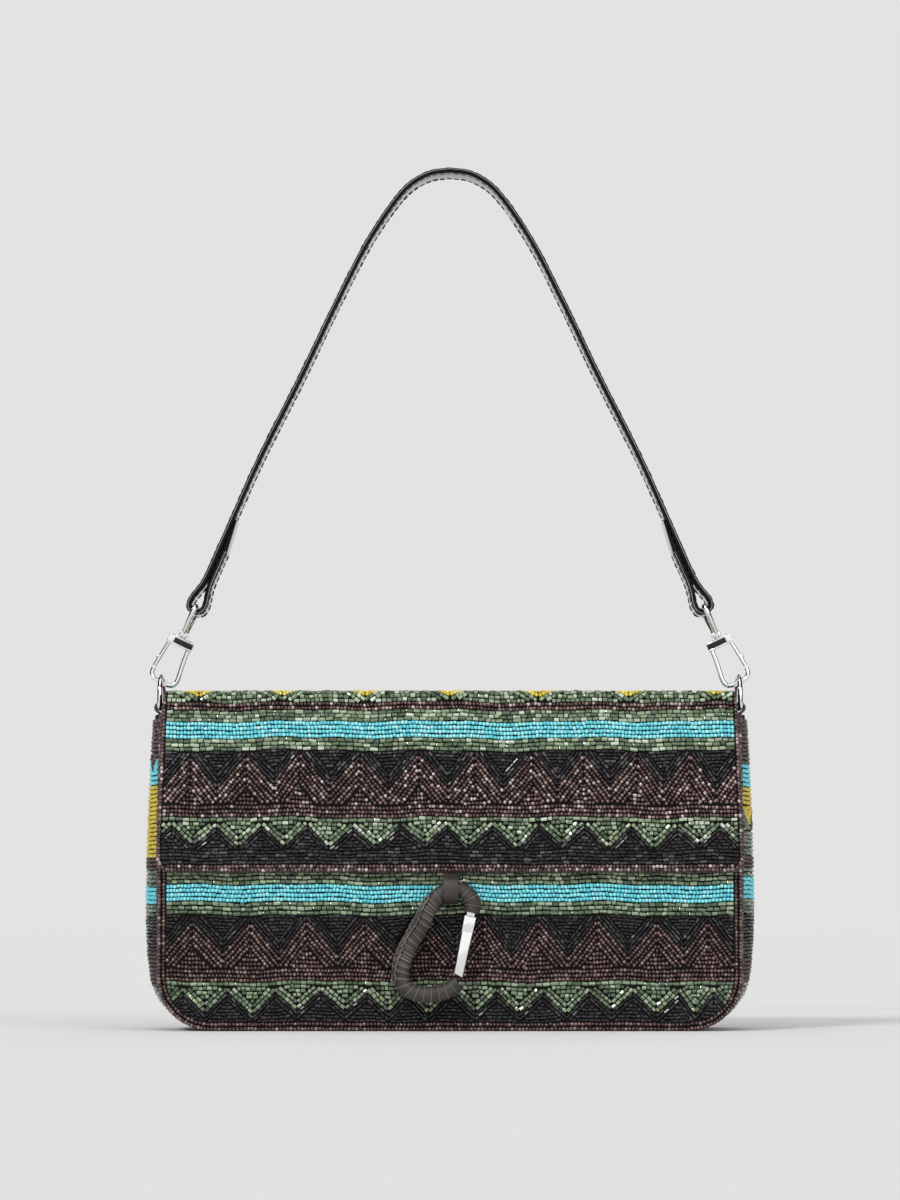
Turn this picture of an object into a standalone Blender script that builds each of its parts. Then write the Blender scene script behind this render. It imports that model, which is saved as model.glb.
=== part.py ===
# Beaded shoulder bag: flap bag with a leather strap, snap hooks and a carabiner charm.
# Metres, +Z up. X runs across the bag, the front faces -Y and the base stands on Z = 0.
# Left and right are as seen from the front.

import math

import bpy
import bmesh
import numpy as np
from mathutils import Matrix, Vector

# Clearances and cuts
GAP = 0.0003
CUT_OVERRUN = 0.002
WELD_DISTANCE = 0.000003

# Body
PANEL_WIDTH = 0.241
BAG_DEPTH = 0.050
BAG_HEIGHT = 0.140
PANEL_THICKNESS = 0.0026
PANEL_CORNER_RADIUS = 0.022
FRONT_PANEL_DROP = 0.012
GUSSET_THICKNESS = 0.0024
GUSSET_DROP = 0.0096
GUSSET_BULGE = 0.0067
STIFFENER_THICKNESS = 0.001
BASE_BOARD_THICKNESS = 0.0015
LINING_THICKNESS = 0.0008
LINING_DROP = 0.0015
POCKET_WIDTH = 0.120
POCKET_HEIGHT = 0.075
POCKET_STAND_OFF = 0.0048
POCKET_RIM_DROP = 0.025

# Flap
FLAP_THICKNESS = 0.003
FLAP_TOP_INSET = 0.002
FLAP_HEM_OUTSET = 0.0005
FLAP_DROP = 0.075
FLAP_CORNER_RADIUS = 0.006
FRONT_FOLD_RADIUS = 0.0035
BACK_FOLD_RADIUS = 0.004
BACK_FOLD_LEG = 0.003
LIFT_LINE_OFFSET = 0.003
MAGNET_RADIUS = 0.009
MAGNET_THICKNESS = 0.0013
MAGNET_HEM_DISTANCE = 0.024

# Ring tabs and D-rings
TAB_WIDTH = 0.015
TAB_THICKNESS = 0.0024
TAB_PLY = 0.0012
TAB_TONGUE_LENGTH = 0.019
RING_WIRE_RADIUS = 0.0011
RING_RISE = 0.0073
RING_CORNER_RADIUS = 0.002

# Snap hooks
HOOK_LEAN = math.radians(25)
HOOK_WIRE_RADIUS = 0.001
HOOK_PLAY = 0.00035
HOOK_LOOP_LENGTH = 0.0165
HOOK_LOOP_HALF_WIDTH = 0.0057
HOOK_COLLAR_HALF_WIDTH = 0.0056
HOOK_COLLAR_HEIGHT = 0.0040
HOOK_COLLAR_DEPTH = 0.0044
HOOK_COLLAR_ROUND = 0.0005
GATE_WIDTH = 0.002
GATE_ROOT_RADIUS = 0.0015
GATE_THICKNESS = 0.0018
GATE_THUMB_TAB = 0.0012
RIVET_RADIUS = 0.0006
RIVET_HEAD_RADIUS = 0.0012
RIVET_HEAD_HEIGHT = 0.0004
SWIVEL_POST_RADIUS = 0.001
SWIVEL_HEAD_RADIUS = 0.0018
SWIVEL_HEAD_HEIGHT = 0.0012
EYE_WIRE_RADIUS = 0.0011
EYE_BASE_HEIGHT = 0.0024
EYE_BASE_WIDTH = 0.0036
EYE_HEIGHT = 0.0115
EYE_LEG_FOOT = 0.0034

# Strap
STRAP_WIDTH = 0.015
STRAP_THICKNESS = 0.0023
STRAP_DROP = 0.2215
STRAP_FOLD_LENGTH = 0.026
STRAP_LOOP_RADIUS = 0.0046
STRAP_LOOP_NECK = 0.0120

# Charm
CHARM_LOOP_WIDTH = 0.0062
CHARM_LEATHER = 0.0011
CHARM_OFFSET = 0.0004
CHARM_NECK_LENGTH = 0.0078
CHARM_PLAY = 0.0016
CARABINER_WIDTH = 0.0291
CARABINER_HEIGHT = 0.0423
CORE_RADIUS = 0.002
WRAP_THICKNESS = 0.001
CORE_END = 0.0012
TONGUE_RADIUS = 0.0016
TONGUE_THICKNESS = 0.0016
TONGUE_REACH = 0.0045
CHARM_GATE_TOP_WIDTH = 0.0050
CHARM_GATE_TIP_WIDTH = 0.0038
CHARM_GATE_THICKNESS = 0.0042
CHARM_GATE_LENGTH = 0.0206
CHARM_GATE_LEAN = math.radians(11.7)

# The strap's arch, from its neck to its highest point: across and up
STRAP_ARCH_SHARES = (
    (1.0, 0.0), (0.9, 0.135), (0.78, 0.295), (0.616, 0.49), (0.472, 0.67),
    (0.338, 0.826), (0.2, 0.945), (0.095, 0.99), (0.0, 1.0),
)

# The carabiner's rod, from the gate's rivet over the top and round to the nose
CARABINER_ROUTE_SHARES = (
    (0.973, 0.783), (1.0, 0.87), (0.931, 0.957), (0.818, 1.0), (0.677, 0.995),
    (0.536, 0.955), (0.409, 0.85), (0.278, 0.66), (0.093, 0.437), (0.0, 0.229),
    (0.027, 0.083), (0.196, 0.005), (0.464, 0.0), (0.677, 0.045), (0.79, 0.115),
)
CHARM_LOOP_ACROSS_SHARE = 0.69
CHARM_LOOP_UP_SHARE = 0.99

# The gusset's bulge on its way down the side, from the rim to the corner
GUSSET_RIM_BULGE_SHARE = 0.6
GUSSET_FULL_BULGE_SHARE = 0.35

# The snap hook's wire: along the hook and across it, from the fixed leg to the nose
HOOK_WIRE_SHARES = (
    (1.08, 0.75), (0.8, 0.8), (0.5, 0.89), (0.28, 0.98), (0.14, 0.96), (0.04, 0.78),
    (0.0, 0.4), (0.0, 0.0), (0.0, -0.4), (0.04, -0.78), (0.14, -0.96), (0.26, -1.0),
)
GATE_ROOT_ACROSS_SHARE = 0.75
GATE_TIP_ALONG_SHARE = 0.35
THUMB_TAB_SHARE = 0.72

# Counts
ARC_STEPS = 10
GUSSET_STEPS = 8
CURVE_STEPS = 3
ROUND_SIDES = 24
SMALL_ROUND_SIDES = 16
TUBE_RESOLUTION = 2

# Places that follow from the sizes
half_width = PANEL_WIDTH / 2
half_depth = BAG_DEPTH / 2
front_y = -half_depth
flap_back_y = front_y + FLAP_THICKNESS
panel_front_y = flap_back_y + GAP
panel_back_y = panel_front_y + PANEL_THICKNESS
rear_panel_front_y = half_depth - PANEL_THICKNESS
gusset_front_y = panel_back_y + GAP
gusset_rear_y = rear_panel_front_y - GAP
gusset_mid_y = (gusset_front_y + gusset_rear_y) / 2
gusset_half = (gusset_rear_y - gusset_front_y) / 2
gusset_top = BAG_HEIGHT - GUSSET_DROP
inner_inset = GUSSET_THICKNESS + GAP
front_stiffener_y = gusset_front_y
rear_stiffener_y = gusset_rear_y - STIFFENER_THICKNESS
lining_front_y = front_stiffener_y + STIFFENER_THICKNESS + GAP
lining_rear_y = rear_stiffener_y - GAP
lining_top = gusset_top - LINING_DROP
base_board_z = GUSSET_THICKNESS + GAP
lining_base_z = base_board_z + BASE_BOARD_THICKNESS + GAP
flap_top_half = half_width - FLAP_TOP_INSET
flap_hem_half = half_width + FLAP_HEM_OUTSET
hem_z = BAG_HEIGHT - FLAP_DROP
fold_y = front_y + FRONT_FOLD_RADIUS
fold_z = BAG_HEIGHT - FRONT_FOLD_RADIUS
lift_y = -LIFT_LINE_OFFSET
lift_z = BAG_HEIGHT - FLAP_THICKNESS / 2
magnet_z = hem_z + MAGNET_HEM_DISTANCE
tab_edge_share = (TAB_WIDTH / 2 + gusset_mid_y) / gusset_half
tab_edge_bulge = GUSSET_BULGE * GUSSET_RIM_BULGE_SHARE * (1 - tab_edge_share ** 2)
ring_x = half_width + tab_edge_bulge - GUSSET_THICKNESS - GAP
tab_head_radius = RING_WIRE_RADIUS + GAP + TAB_PLY
bar_z = gusset_top + 2 * GAP + tab_head_radius
ring_apex_z = BAG_HEIGHT + RING_RISE
ring_half = TAB_WIDTH / 2 + GAP + RING_WIRE_RADIUS
hook_z = ring_apex_z - (RING_WIRE_RADIUS + HOOK_WIRE_RADIUS + HOOK_PLAY) / math.cos(HOOK_LEAN)
collar_base = HOOK_LOOP_LENGTH
collar_top = collar_base + HOOK_COLLAR_HEIGHT
gate_root = collar_base + HOOK_COLLAR_HEIGHT / 2
gate_across = HOOK_LOOP_HALF_WIDTH * GATE_ROOT_ACROSS_SHARE
eye_base = collar_top + GAP
eye_top = eye_base + EYE_BASE_HEIGHT
eye_bar = eye_top + EYE_HEIGHT
eye_half = STRAP_WIDTH / 2 + GAP + EYE_WIRE_RADIUS
loop_inner = STRAP_LOOP_RADIUS - STRAP_THICKNESS / 2
loop_centre = eye_bar + loop_inner - GAP - EYE_WIRE_RADIUS
loop_neck = loop_centre + STRAP_LOOP_NECK
strap_top_z = BAG_HEIGHT + STRAP_DROP
wrap_radius = CORE_RADIUS + GAP + WRAP_THICKNESS
charm_hole_radius = wrap_radius + CHARM_PLAY
charm_ring_radius = charm_hole_radius + CHARM_LEATHER
charm_y = panel_front_y - GAP - charm_ring_radius
charm_hinge_y = front_y + FLAP_THICKNESS / 2
charm_hinge_z = hem_z - GAP - CHARM_LEATHER
charm_ring_z = hem_z - CHARM_NECK_LENGTH
carabiner_left = CHARM_OFFSET - CARABINER_WIDTH * CHARM_LOOP_ACROSS_SHARE
carabiner_base = charm_ring_z - CARABINER_HEIGHT * CHARM_LOOP_UP_SHARE


def clear_scene():
    for old in list(bpy.data.objects):
        bpy.data.objects.remove(old, do_unlink=True)


clear_scene()

bag_parts = bpy.data.collections.new("beaded_shoulder_bag")
cutters = bpy.data.collections.new("cutters")
bpy.context.scene.collection.children.link(bag_parts)
bpy.context.scene.collection.children.link(cutters)


def finish_material(name, colour, roughness, metallic):
    made = bpy.data.materials.new(name)
    made.use_nodes = True
    shader = made.node_tree.nodes["Principled BSDF"]
    shader.inputs["Base Color"].default_value = (*colour, 1.0)
    shader.inputs["Roughness"].default_value = roughness
    shader.inputs["Metallic"].default_value = metallic
    made.diffuse_color = (*colour, 1.0)
    return made


def in_plane(across, up, out, origin=(0.0, 0.0, 0.0)):
    """A matrix that stands a flat outline's x, y and depth along three directions."""
    made = Matrix((across, up, out)).transposed().to_4x4()
    made.translation = Vector(origin)
    return made


FRONT_VIEW = ((1, 0, 0), (0, 0, 1), (0, -1, 0))
SIDE_VIEW = ((0, 1, 0), (0, 0, 1), (1, 0, 0))


def add_object(name, mesh, material, matrix=None):
    made = bpy.data.objects.new(name, mesh)
    bag_parts.objects.link(made)
    if matrix is not None:
        made.matrix_world = matrix
    if material is not None:
        mesh.materials.append(material)
    return made


def meshed(curve_object):
    """The curve object as a mesh object with welded caps."""
    bpy.context.view_layer.update()
    seen = curve_object.evaluated_get(bpy.context.evaluated_depsgraph_get())
    mesh = bpy.data.meshes.new_from_object(seen)
    form = bmesh.new()
    form.from_mesh(mesh)
    bmesh.ops.remove_doubles(form, verts=form.verts, dist=WELD_DISTANCE)
    form.to_mesh(mesh)
    form.free()
    name = curve_object.name
    made = bpy.data.objects.new(name, mesh)
    for home in curve_object.users_collection:
        home.objects.link(made)
    made.matrix_world = curve_object.matrix_world
    bpy.data.objects.remove(curve_object, do_unlink=True)
    made.name = name
    return made


def plate(name, outlines, thickness, material, matrix):
    """A flat piece: closed outlines, filled and extruded to the thickness."""
    flat = bpy.data.curves.new(name, "CURVE")
    flat.dimensions = "2D"
    flat.fill_mode = "BOTH"
    flat.extrude = thickness / 2
    for outline in outlines:
        edge = flat.splines.new("POLY")
        edge.points.add(len(outline) - 1)
        for point, (x, y) in zip(edge.points, outline):
            point.co = (x, y, 0.0, 1.0)
        edge.use_cyclic_u = True
    if material is not None:
        flat.materials.append(material)
    return meshed(add_object(name, flat, None, matrix))


def rod(name, route, radius, material, matrix=None, closed=False, capped=True):
    """A round rod or wire along a route."""
    line = bpy.data.curves.new(name, "CURVE")
    line.dimensions = "3D"
    line.bevel_depth = radius
    line.bevel_resolution = TUBE_RESOLUTION
    line.use_fill_caps = capped
    path = line.splines.new("POLY")
    path.points.add(len(route) - 1)
    for point, place in zip(path.points, route):
        point.co = (*place, 1.0)
    path.use_cyclic_u = closed
    if material is not None:
        line.materials.append(material)
    return meshed(add_object(name, line, None, matrix))


def block(name, low, high, material=None, matrix=None):
    form = bmesh.new()
    bmesh.ops.create_cube(form, size=1.0)
    low = Vector(low)
    high = Vector(high)
    bmesh.ops.scale(form, vec=high - low, verts=form.verts)
    bmesh.ops.translate(form, vec=(low + high) / 2, verts=form.verts)
    mesh = bpy.data.meshes.new(name)
    form.to_mesh(mesh)
    form.free()
    return add_object(name, mesh, material, matrix)


def drum(name, radius, length, material=None, matrix=None, sides=ROUND_SIDES):
    """A cylinder along its own Z, centred on its origin."""
    form = bmesh.new()
    bmesh.ops.create_cone(
        form, cap_ends=True, segments=sides, radius1=radius, radius2=radius, depth=length
    )
    mesh = bpy.data.meshes.new(name)
    form.to_mesh(mesh)
    form.free()
    return add_object(name, mesh, material, matrix)


def as_cutter(helper):
    for home in list(helper.users_collection):
        home.objects.unlink(helper)
    cutters.objects.link(helper)
    helper.hide_render = True
    helper.display_type = "WIRE"
    return helper


def combine(target, helper, operation):
    step = target.modifiers.new(helper.name, "BOOLEAN")
    step.operation = operation
    step.solver = "EXACT"
    step.object = as_cutter(helper)


def round_edges(target, width, segments=2):
    step = target.modifiers.new("round", "BEVEL")
    step.width = width
    step.segments = segments
    step.limit_method = "ANGLE"
    step.angle_limit = math.radians(50)


def axis_empty(name, place, turn_about_y=0.0):
    made = bpy.data.objects.new(name, None)
    bag_parts.objects.link(made)
    made.location = place
    made.rotation_euler = (0.0, turn_about_y, 0.0)
    return made


def hang_on(parent, *pieces):
    """Parents pieces to a joint's empty, and keeps them where they are."""
    bpy.context.view_layer.update()
    for piece in pieces:
        piece.parent = parent
        piece.matrix_parent_inverse = parent.matrix_world.inverted()


def arc(centre, radius, start, end, steps=ARC_STEPS):
    angles = np.radians(np.linspace(start, end, steps + 1))
    return [(centre[0] + radius * math.cos(a), centre[1] + radius * math.sin(a)) for a in angles]


def smooth_route(points, steps=CURVE_STEPS):
    """Points along a smooth curve that passes through the given ones."""
    given = np.array(points, dtype=float)
    padded = np.vstack([2 * given[0] - given[1], given, 2 * given[-1] - given[-2]])
    route = []
    for i in range(1, len(padded) - 2):
        before, start, end, after = padded[i - 1:i + 3]
        for t in np.arange(steps) / steps:
            route.append(
                0.5 * (2 * start + (end - before) * t
                       + (2 * before - 5 * start + 4 * end - after) * t ** 2
                       + (3 * start - before - 3 * end + after) * t ** 3)
            )
    route.append(given[-1])
    return [tuple(p) for p in route]


def ribbon_outline(route, thickness):
    """A closed outline at half the thickness on each side of a flat route."""
    line = np.array(route)
    ahead = np.gradient(line, axis=0)
    ahead /= np.linalg.norm(ahead, axis=1)[:, None]
    aside = np.stack([-ahead[:, 1], ahead[:, 0]], axis=1) * thickness / 2
    return [tuple(p) for p in np.vstack([line + aside, (line - aside)[::-1]])]


def body_outline(inset, top, base=0.0):
    """The panel's outline, drawn in by the inset, with round lower corners."""
    half = half_width - inset
    radius = PANEL_CORNER_RADIUS - inset
    floor = inset if base == 0.0 else base
    return (
        [(-half, top)]
        + arc((-half + radius, floor + radius), radius, 180, 270)
        + arc((half - radius, floor + radius), radius, 270, 360)
        + [(half, top)]
    )


def front_plate(name, outline, y_front, thickness, material):
    matrix = in_plane(*FRONT_VIEW, origin=(0.0, y_front + thickness / 2, 0.0))
    return plate(name, [outline], thickness, material, matrix)


BEADS = finish_material("beadwork", (0.05, 0.035, 0.03), 0.35, 0.0)
BOARD = finish_material("board", (0.35, 0.3, 0.25), 0.9, 0.0)
LINING = finish_material("lining_cloth", (0.03, 0.028, 0.027), 0.85, 0.0)
LEATHER = finish_material("dark_leather", (0.03, 0.022, 0.02), 0.4, 0.0)
METAL = finish_material("polished_metal", (0.8, 0.8, 0.8), 0.15, 1.0)


def make_panels():
    front = front_plate(
        "front_panel", body_outline(0.0, BAG_HEIGHT - FRONT_PANEL_DROP),
        panel_front_y, PANEL_THICKNESS, BEADS,
    )
    recess = drum(
        "socket_recess", MAGNET_RADIUS + GAP, 2 * (MAGNET_THICKNESS + GAP),
        matrix=in_plane(*FRONT_VIEW, origin=(0.0, panel_front_y, magnet_z)),
    )
    combine(front, recess, "DIFFERENCE")
    back_top = BAG_HEIGHT - BACK_FOLD_RADIUS - BACK_FOLD_LEG - GAP
    front_plate(
        "back_panel", body_outline(0.0, back_top), rear_panel_front_y, PANEL_THICKNESS, BEADS
    )
    stiff = body_outline(inner_inset, lining_top, base_board_z)
    front_plate("front_stiffener", stiff, front_stiffener_y, STIFFENER_THICKNESS, BOARD)
    front_plate("back_stiffener", stiff, rear_stiffener_y, STIFFENER_THICKNESS, BOARD)
    socket = drum(
        "magnet_socket", MAGNET_RADIUS, MAGNET_THICKNESS, METAL,
        in_plane(*FRONT_VIEW, origin=(0.0, panel_front_y + MAGNET_THICKNESS / 2, magnet_z)),
    )
    round_edges(socket, GAP, 1)


def gusset_bulge(side_share):
    """The bulge at a share of the side's height, from 0 at the base to 1 at the rim."""
    if side_share > GUSSET_FULL_BULGE_SHARE:
        slope = (side_share - GUSSET_FULL_BULGE_SHARE) / (1 - GUSSET_FULL_BULGE_SHARE)
        return GUSSET_BULGE * (1 - (1 - GUSSET_RIM_BULGE_SHARE) * slope ** 2)
    return GUSSET_BULGE * math.sin(math.pi / 2 * side_share / GUSSET_FULL_BULGE_SHARE)


def make_gusset():
    """One strip down the left side, under the base and up the right side."""
    radius = PANEL_CORNER_RADIUS
    line = []
    for z in np.linspace(gusset_top, radius, GUSSET_STEPS + 1)[:-1]:
        line.append(((-half_width, z), (-1.0, 0.0)))
    centre = (-half_width + radius, radius)
    for a in np.radians(np.linspace(180, 270, GUSSET_STEPS + 1)):
        turn = (math.cos(a), math.sin(a))
        line.append(((centre[0] + radius * turn[0], centre[1] + radius * turn[1]), turn))
    line += [((-x, z), (-nx, nz)) for (x, z), (nx, nz) in reversed(line)]
    form = bmesh.new()
    rows = []
    for (x, z), (nx, nz) in line:
        bulge = gusset_bulge(z / gusset_top) * abs(nx)
        row = []
        for t in np.linspace(-1, 1, GUSSET_STEPS + 1):
            out = bulge * (1 - t * t)
            row.append(form.verts.new((x + nx * out, gusset_mid_y + t * gusset_half, z + nz * out)))
        rows.append(row)
    for one, other in zip(rows, rows[1:]):
        for a, b, c, d in zip(one, one[1:], other[1:], other):
            form.faces.new((a, b, c, d))
    mesh = bpy.data.meshes.new("gusset")
    form.to_mesh(mesh)
    form.free()
    gusset = add_object("gusset", mesh, BEADS)
    wall = gusset.modifiers.new("wall", "SOLIDIFY")
    wall.thickness = GUSSET_THICKNESS
    wall.offset = -1.0


def make_inside():
    board_half = half_width - PANEL_CORNER_RADIUS
    block(
        "base_board",
        (-board_half, lining_front_y, base_board_z),
        (board_half, lining_rear_y, base_board_z + BASE_BOARD_THICKNESS), BOARD,
    )
    depth = lining_rear_y - lining_front_y
    lining = front_plate(
        "lining", body_outline(inner_inset, lining_top, lining_base_z), lining_front_y, depth, LINING
    )
    hollow = front_plate(
        "lining_hollow",
        body_outline(inner_inset + LINING_THICKNESS, lining_top + CUT_OVERRUN,
                     lining_base_z + LINING_THICKNESS),
        lining_front_y + LINING_THICKNESS, depth - 2 * LINING_THICKNESS, None,
    )
    combine(lining, hollow, "DIFFERENCE")
    pocket_rear = lining_rear_y - LINING_THICKNESS - GAP
    pocket_front = pocket_rear - POCKET_STAND_OFF - LINING_THICKNESS
    pocket_top = lining_top - POCKET_RIM_DROP
    pocket_base = pocket_top - POCKET_HEIGHT
    pocket = block(
        "inner_pocket", (-POCKET_WIDTH / 2, pocket_front, pocket_base),
        (POCKET_WIDTH / 2, pocket_rear, pocket_top), LINING,
    )
    inside = POCKET_WIDTH / 2 - LINING_THICKNESS
    pouch = block(
        "pocket_hollow", (-inside, pocket_front + LINING_THICKNESS, pocket_base + LINING_THICKNESS),
        (inside, pocket_rear + CUT_OVERRUN, pocket_top + CUT_OVERRUN),
    )
    combine(pocket, pouch, "DIFFERENCE")


def side_plate(name, outline, width, material, x=0.0):
    matrix = in_plane(*SIDE_VIEW, origin=(x, 0.0, 0.0))
    return plate(name, outline, width, material, matrix)


def make_top_panel():
    """The part of the top behind the lifting line, turned down over the back."""
    socket = FLAP_THICKNESS / 2 + GAP
    hollow = arc((lift_y, lift_z), socket, -45, 45)
    lip = FLAP_THICKNESS / 2 * (1 - math.sin(math.radians(45)))
    bend = (half_depth - BACK_FOLD_RADIUS, BAG_HEIGHT - BACK_FOLD_RADIUS)
    foot = BAG_HEIGHT - BACK_FOLD_RADIUS - BACK_FOLD_LEG
    underside = BAG_HEIGHT - FLAP_THICKNESS
    outline = (
        [(hollow[0][0] + lip, underside)] + hollow + [(hollow[-1][0] + lip, BAG_HEIGHT)]
        + arc(bend, BACK_FOLD_RADIUS, 90, 0)
        + [(half_depth, foot), (half_depth - FLAP_THICKNESS, foot)]
        + arc(bend, BACK_FOLD_RADIUS - FLAP_THICKNESS, 0, 90, ARC_STEPS // 2)
    )
    side_plate("top_panel", [outline], 2 * flap_top_half, BEADS)


def make_flap_upper():
    """The lifting part of the top, between the lifting line and the front fold."""
    reach = FRONT_FOLD_RADIUS + GAP
    low = math.degrees(math.asin((FRONT_FOLD_RADIUS - FLAP_THICKNESS) / reach))
    high = math.degrees(math.asin(FRONT_FOLD_RADIUS / reach))
    outline = (
        arc((lift_y, lift_z), FLAP_THICKNESS / 2, -90, 90)
        + arc((fold_y, fold_z), reach, high, low)
    )
    upper = side_plate("flap_upper", [outline], 2 * flap_top_half, BEADS)
    lift_axis = axis_empty("flap_lift_axis", (0.0, lift_y, lift_z))
    hang_on(lift_axis, upper)
    return lift_axis


def flap_front_outline():
    radius = FLAP_CORNER_RADIUS
    return (
        [(-flap_top_half, BAG_HEIGHT + CUT_OVERRUN)]
        + arc((-flap_hem_half + radius, hem_z + radius), radius, 180, 270, 6)
        + arc((flap_hem_half - radius, hem_z + radius), radius, 270, 360, 6)
        + [(flap_top_half, BAG_HEIGHT + CUT_OVERRUN)]
    )


def make_flap_front(lift_axis):
    """The part that hangs over the front, with the rounded fold at its top."""
    hem_radius = FLAP_THICKNESS / 2
    slab = (
        arc((fold_y, fold_z), FRONT_FOLD_RADIUS, 180, -75, 2 * ARC_STEPS)
        + [(flap_back_y, fold_z - FRONT_FOLD_RADIUS)]
        + arc((front_y + hem_radius, hem_z + hem_radius), hem_radius, 0, -180, 8)
    )
    front = side_plate("flap_front", [slab], 2 * flap_hem_half + CUT_OVERRUN, BEADS)
    trim = front_plate(
        "flap_trim", flap_front_outline(), front_y - CUT_OVERRUN, BAG_DEPTH / 2, None
    )
    combine(front, trim, "INTERSECT")
    recess = drum(
        "stud_recess", MAGNET_RADIUS + GAP, 2 * (MAGNET_THICKNESS + GAP),
        matrix=in_plane(*FRONT_VIEW, origin=(0.0, flap_back_y, magnet_z)),
    )
    combine(front, recess, "DIFFERENCE")
    stud = drum(
        "magnet_stud", MAGNET_RADIUS, MAGNET_THICKNESS, METAL,
        in_plane(*FRONT_VIEW, origin=(0.0, flap_back_y - MAGNET_THICKNESS / 2, magnet_z)),
    )
    round_edges(stud, GAP, 1)
    fold_axis = axis_empty("flap_unfold_axis", (0.0, fold_y, fold_z))
    hang_on(lift_axis, fold_axis)
    hang_on(fold_axis, front, stud)
    return fold_axis


def make_ring(side, word):
    """The leather tab sewn inside the gusset's rim, and the D-ring in its head."""
    x = side * ring_x
    matrix = in_plane(*FRONT_VIEW, origin=(x, 0.0, bar_z))
    tab = drum("ring_tab_" + word, tab_head_radius, TAB_WIDTH, LEATHER, matrix)
    inner = -side * TAB_THICKNESS
    tongue = block(
        "tongue_" + word, (min(0.0, inner), -TAB_WIDTH / 2, -TAB_TONGUE_LENGTH - tab_head_radius),
        (max(0.0, inner), TAB_WIDTH / 2, 0.0), matrix=Matrix.Translation((x, 0.0, bar_z)),
    )
    combine(tab, tongue, "UNION")
    bore = drum("tab_bore_" + word, RING_WIRE_RADIUS + GAP, TAB_WIDTH + CUT_OVERRUN, matrix=matrix)
    combine(tab, bore, "DIFFERENCE")
    corner = RING_CORNER_RADIUS
    route = (
        arc((-ring_half + corner, bar_z + corner), corner, 180, 270, 4)
        + arc((ring_half - corner, bar_z + corner), corner, 270, 360, 4)
        + arc((0.0, ring_apex_z - ring_half), ring_half, 0, 180, 2 * ARC_STEPS)
    )
    ring = rod(
        "d_ring_" + word, [(0.0, y, z) for y, z in route], RING_WIRE_RADIUS, METAL,
        Matrix.Translation((x, 0.0, 0.0)), closed=True,
    )
    hang_on(axis_empty("ring_axis_" + word, (x, 0.0, bar_z)), ring)


def hook_matrix(side):
    """The hook's own frame: Z up along its axis, X inward across it."""
    turn = Matrix.Rotation(-side * HOOK_LEAN, 4, "Y")
    mirror = Matrix.Rotation(math.pi, 4, "Z") if side > 0 else Matrix.Identity(4)
    return Matrix.Translation((side * ring_x, 0.0, hook_z)) @ turn @ mirror


def make_hook(side, word, strap_axis):
    frame = hook_matrix(side)
    upright = in_plane(*FRONT_VIEW)
    wire = rod(
        "hook_frame_" + word,
        [(across * HOOK_LOOP_HALF_WIDTH, 0.0, along * HOOK_LOOP_LENGTH)
         for along, across in smooth_route(HOOK_WIRE_SHARES, 2)],
        HOOK_WIRE_RADIUS, METAL, frame,
    )
    collar = block(
        "collar_" + word, (-HOOK_COLLAR_HALF_WIDTH, -HOOK_COLLAR_DEPTH / 2, collar_base),
        (HOOK_COLLAR_HALF_WIDTH, HOOK_COLLAR_DEPTH / 2, collar_top), matrix=frame,
    )
    round_edges(collar, HOOK_COLLAR_ROUND)
    combine(wire, collar, "UNION")
    post_top = eye_top + GAP + SWIVEL_HEAD_HEIGHT
    post = drum(
        "post_" + word, SWIVEL_POST_RADIUS, post_top - gate_root,
        matrix=frame @ Matrix.Translation((0.0, 0.0, (post_top + gate_root) / 2)),
        sides=SMALL_ROUND_SIDES,
    )
    combine(wire, post, "UNION")
    head = drum(
        "post_head_" + word, SWIVEL_HEAD_RADIUS, SWIVEL_HEAD_HEIGHT,
        matrix=frame @ Matrix.Translation((0.0, 0.0, post_top - SWIVEL_HEAD_HEIGHT / 2)),
        sides=SMALL_ROUND_SIDES,
    )
    combine(wire, head, "UNION")
    slot = block(
        "slot_" + word,
        (-HOOK_COLLAR_HALF_WIDTH - CUT_OVERRUN, -GATE_THICKNESS / 2 - GAP, collar_base - CUT_OVERRUN),
        (-gate_across + GATE_ROOT_RADIUS + GAP, GATE_THICKNESS / 2 + GAP, collar_top + CUT_OVERRUN),
        matrix=frame,
    )
    combine(wire, slot, "DIFFERENCE")
    pivot = frame @ Matrix.Translation((-gate_across, 0.0, gate_root)) @ upright
    hole = drum(
        "rivet_hole_" + word, RIVET_RADIUS + GAP, HOOK_COLLAR_DEPTH + CUT_OVERRUN, matrix=pivot,
        sides=SMALL_ROUND_SIDES,
    )
    combine(wire, hole, "DIFFERENCE")
    rivet = make_rivet("gate_rivet_" + word, HOOK_COLLAR_DEPTH, pivot)
    gate = make_hook_gate(word, frame)
    eye = make_eye(word, frame)
    swivel = axis_empty("hook_axis_" + word, frame.translation, -side * HOOK_LEAN)
    gate_axis = axis_empty("hook_gate_axis_" + word, pivot.translation)
    hang_on(strap_axis, eye, swivel)
    hang_on(swivel, wire, rivet, gate_axis)
    hang_on(gate_axis, gate)


def make_rivet(name, grip, matrix):
    """A rivet with a low head outside each cheek."""
    reach = grip + 2 * GAP
    rivet = drum(name, RIVET_RADIUS, reach + RIVET_HEAD_HEIGHT, METAL, matrix, SMALL_ROUND_SIDES)
    for end in (-1, 1):
        head = drum(
            name + ("_head_a" if end < 0 else "_head_b"), RIVET_HEAD_RADIUS, RIVET_HEAD_HEIGHT,
            matrix=matrix @ Matrix.Translation((0.0, 0.0, end * (reach + RIVET_HEAD_HEIGHT) / 2)),
            sides=SMALL_ROUND_SIDES,
        )
        combine(rivet, head, "UNION")
    return rivet


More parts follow.
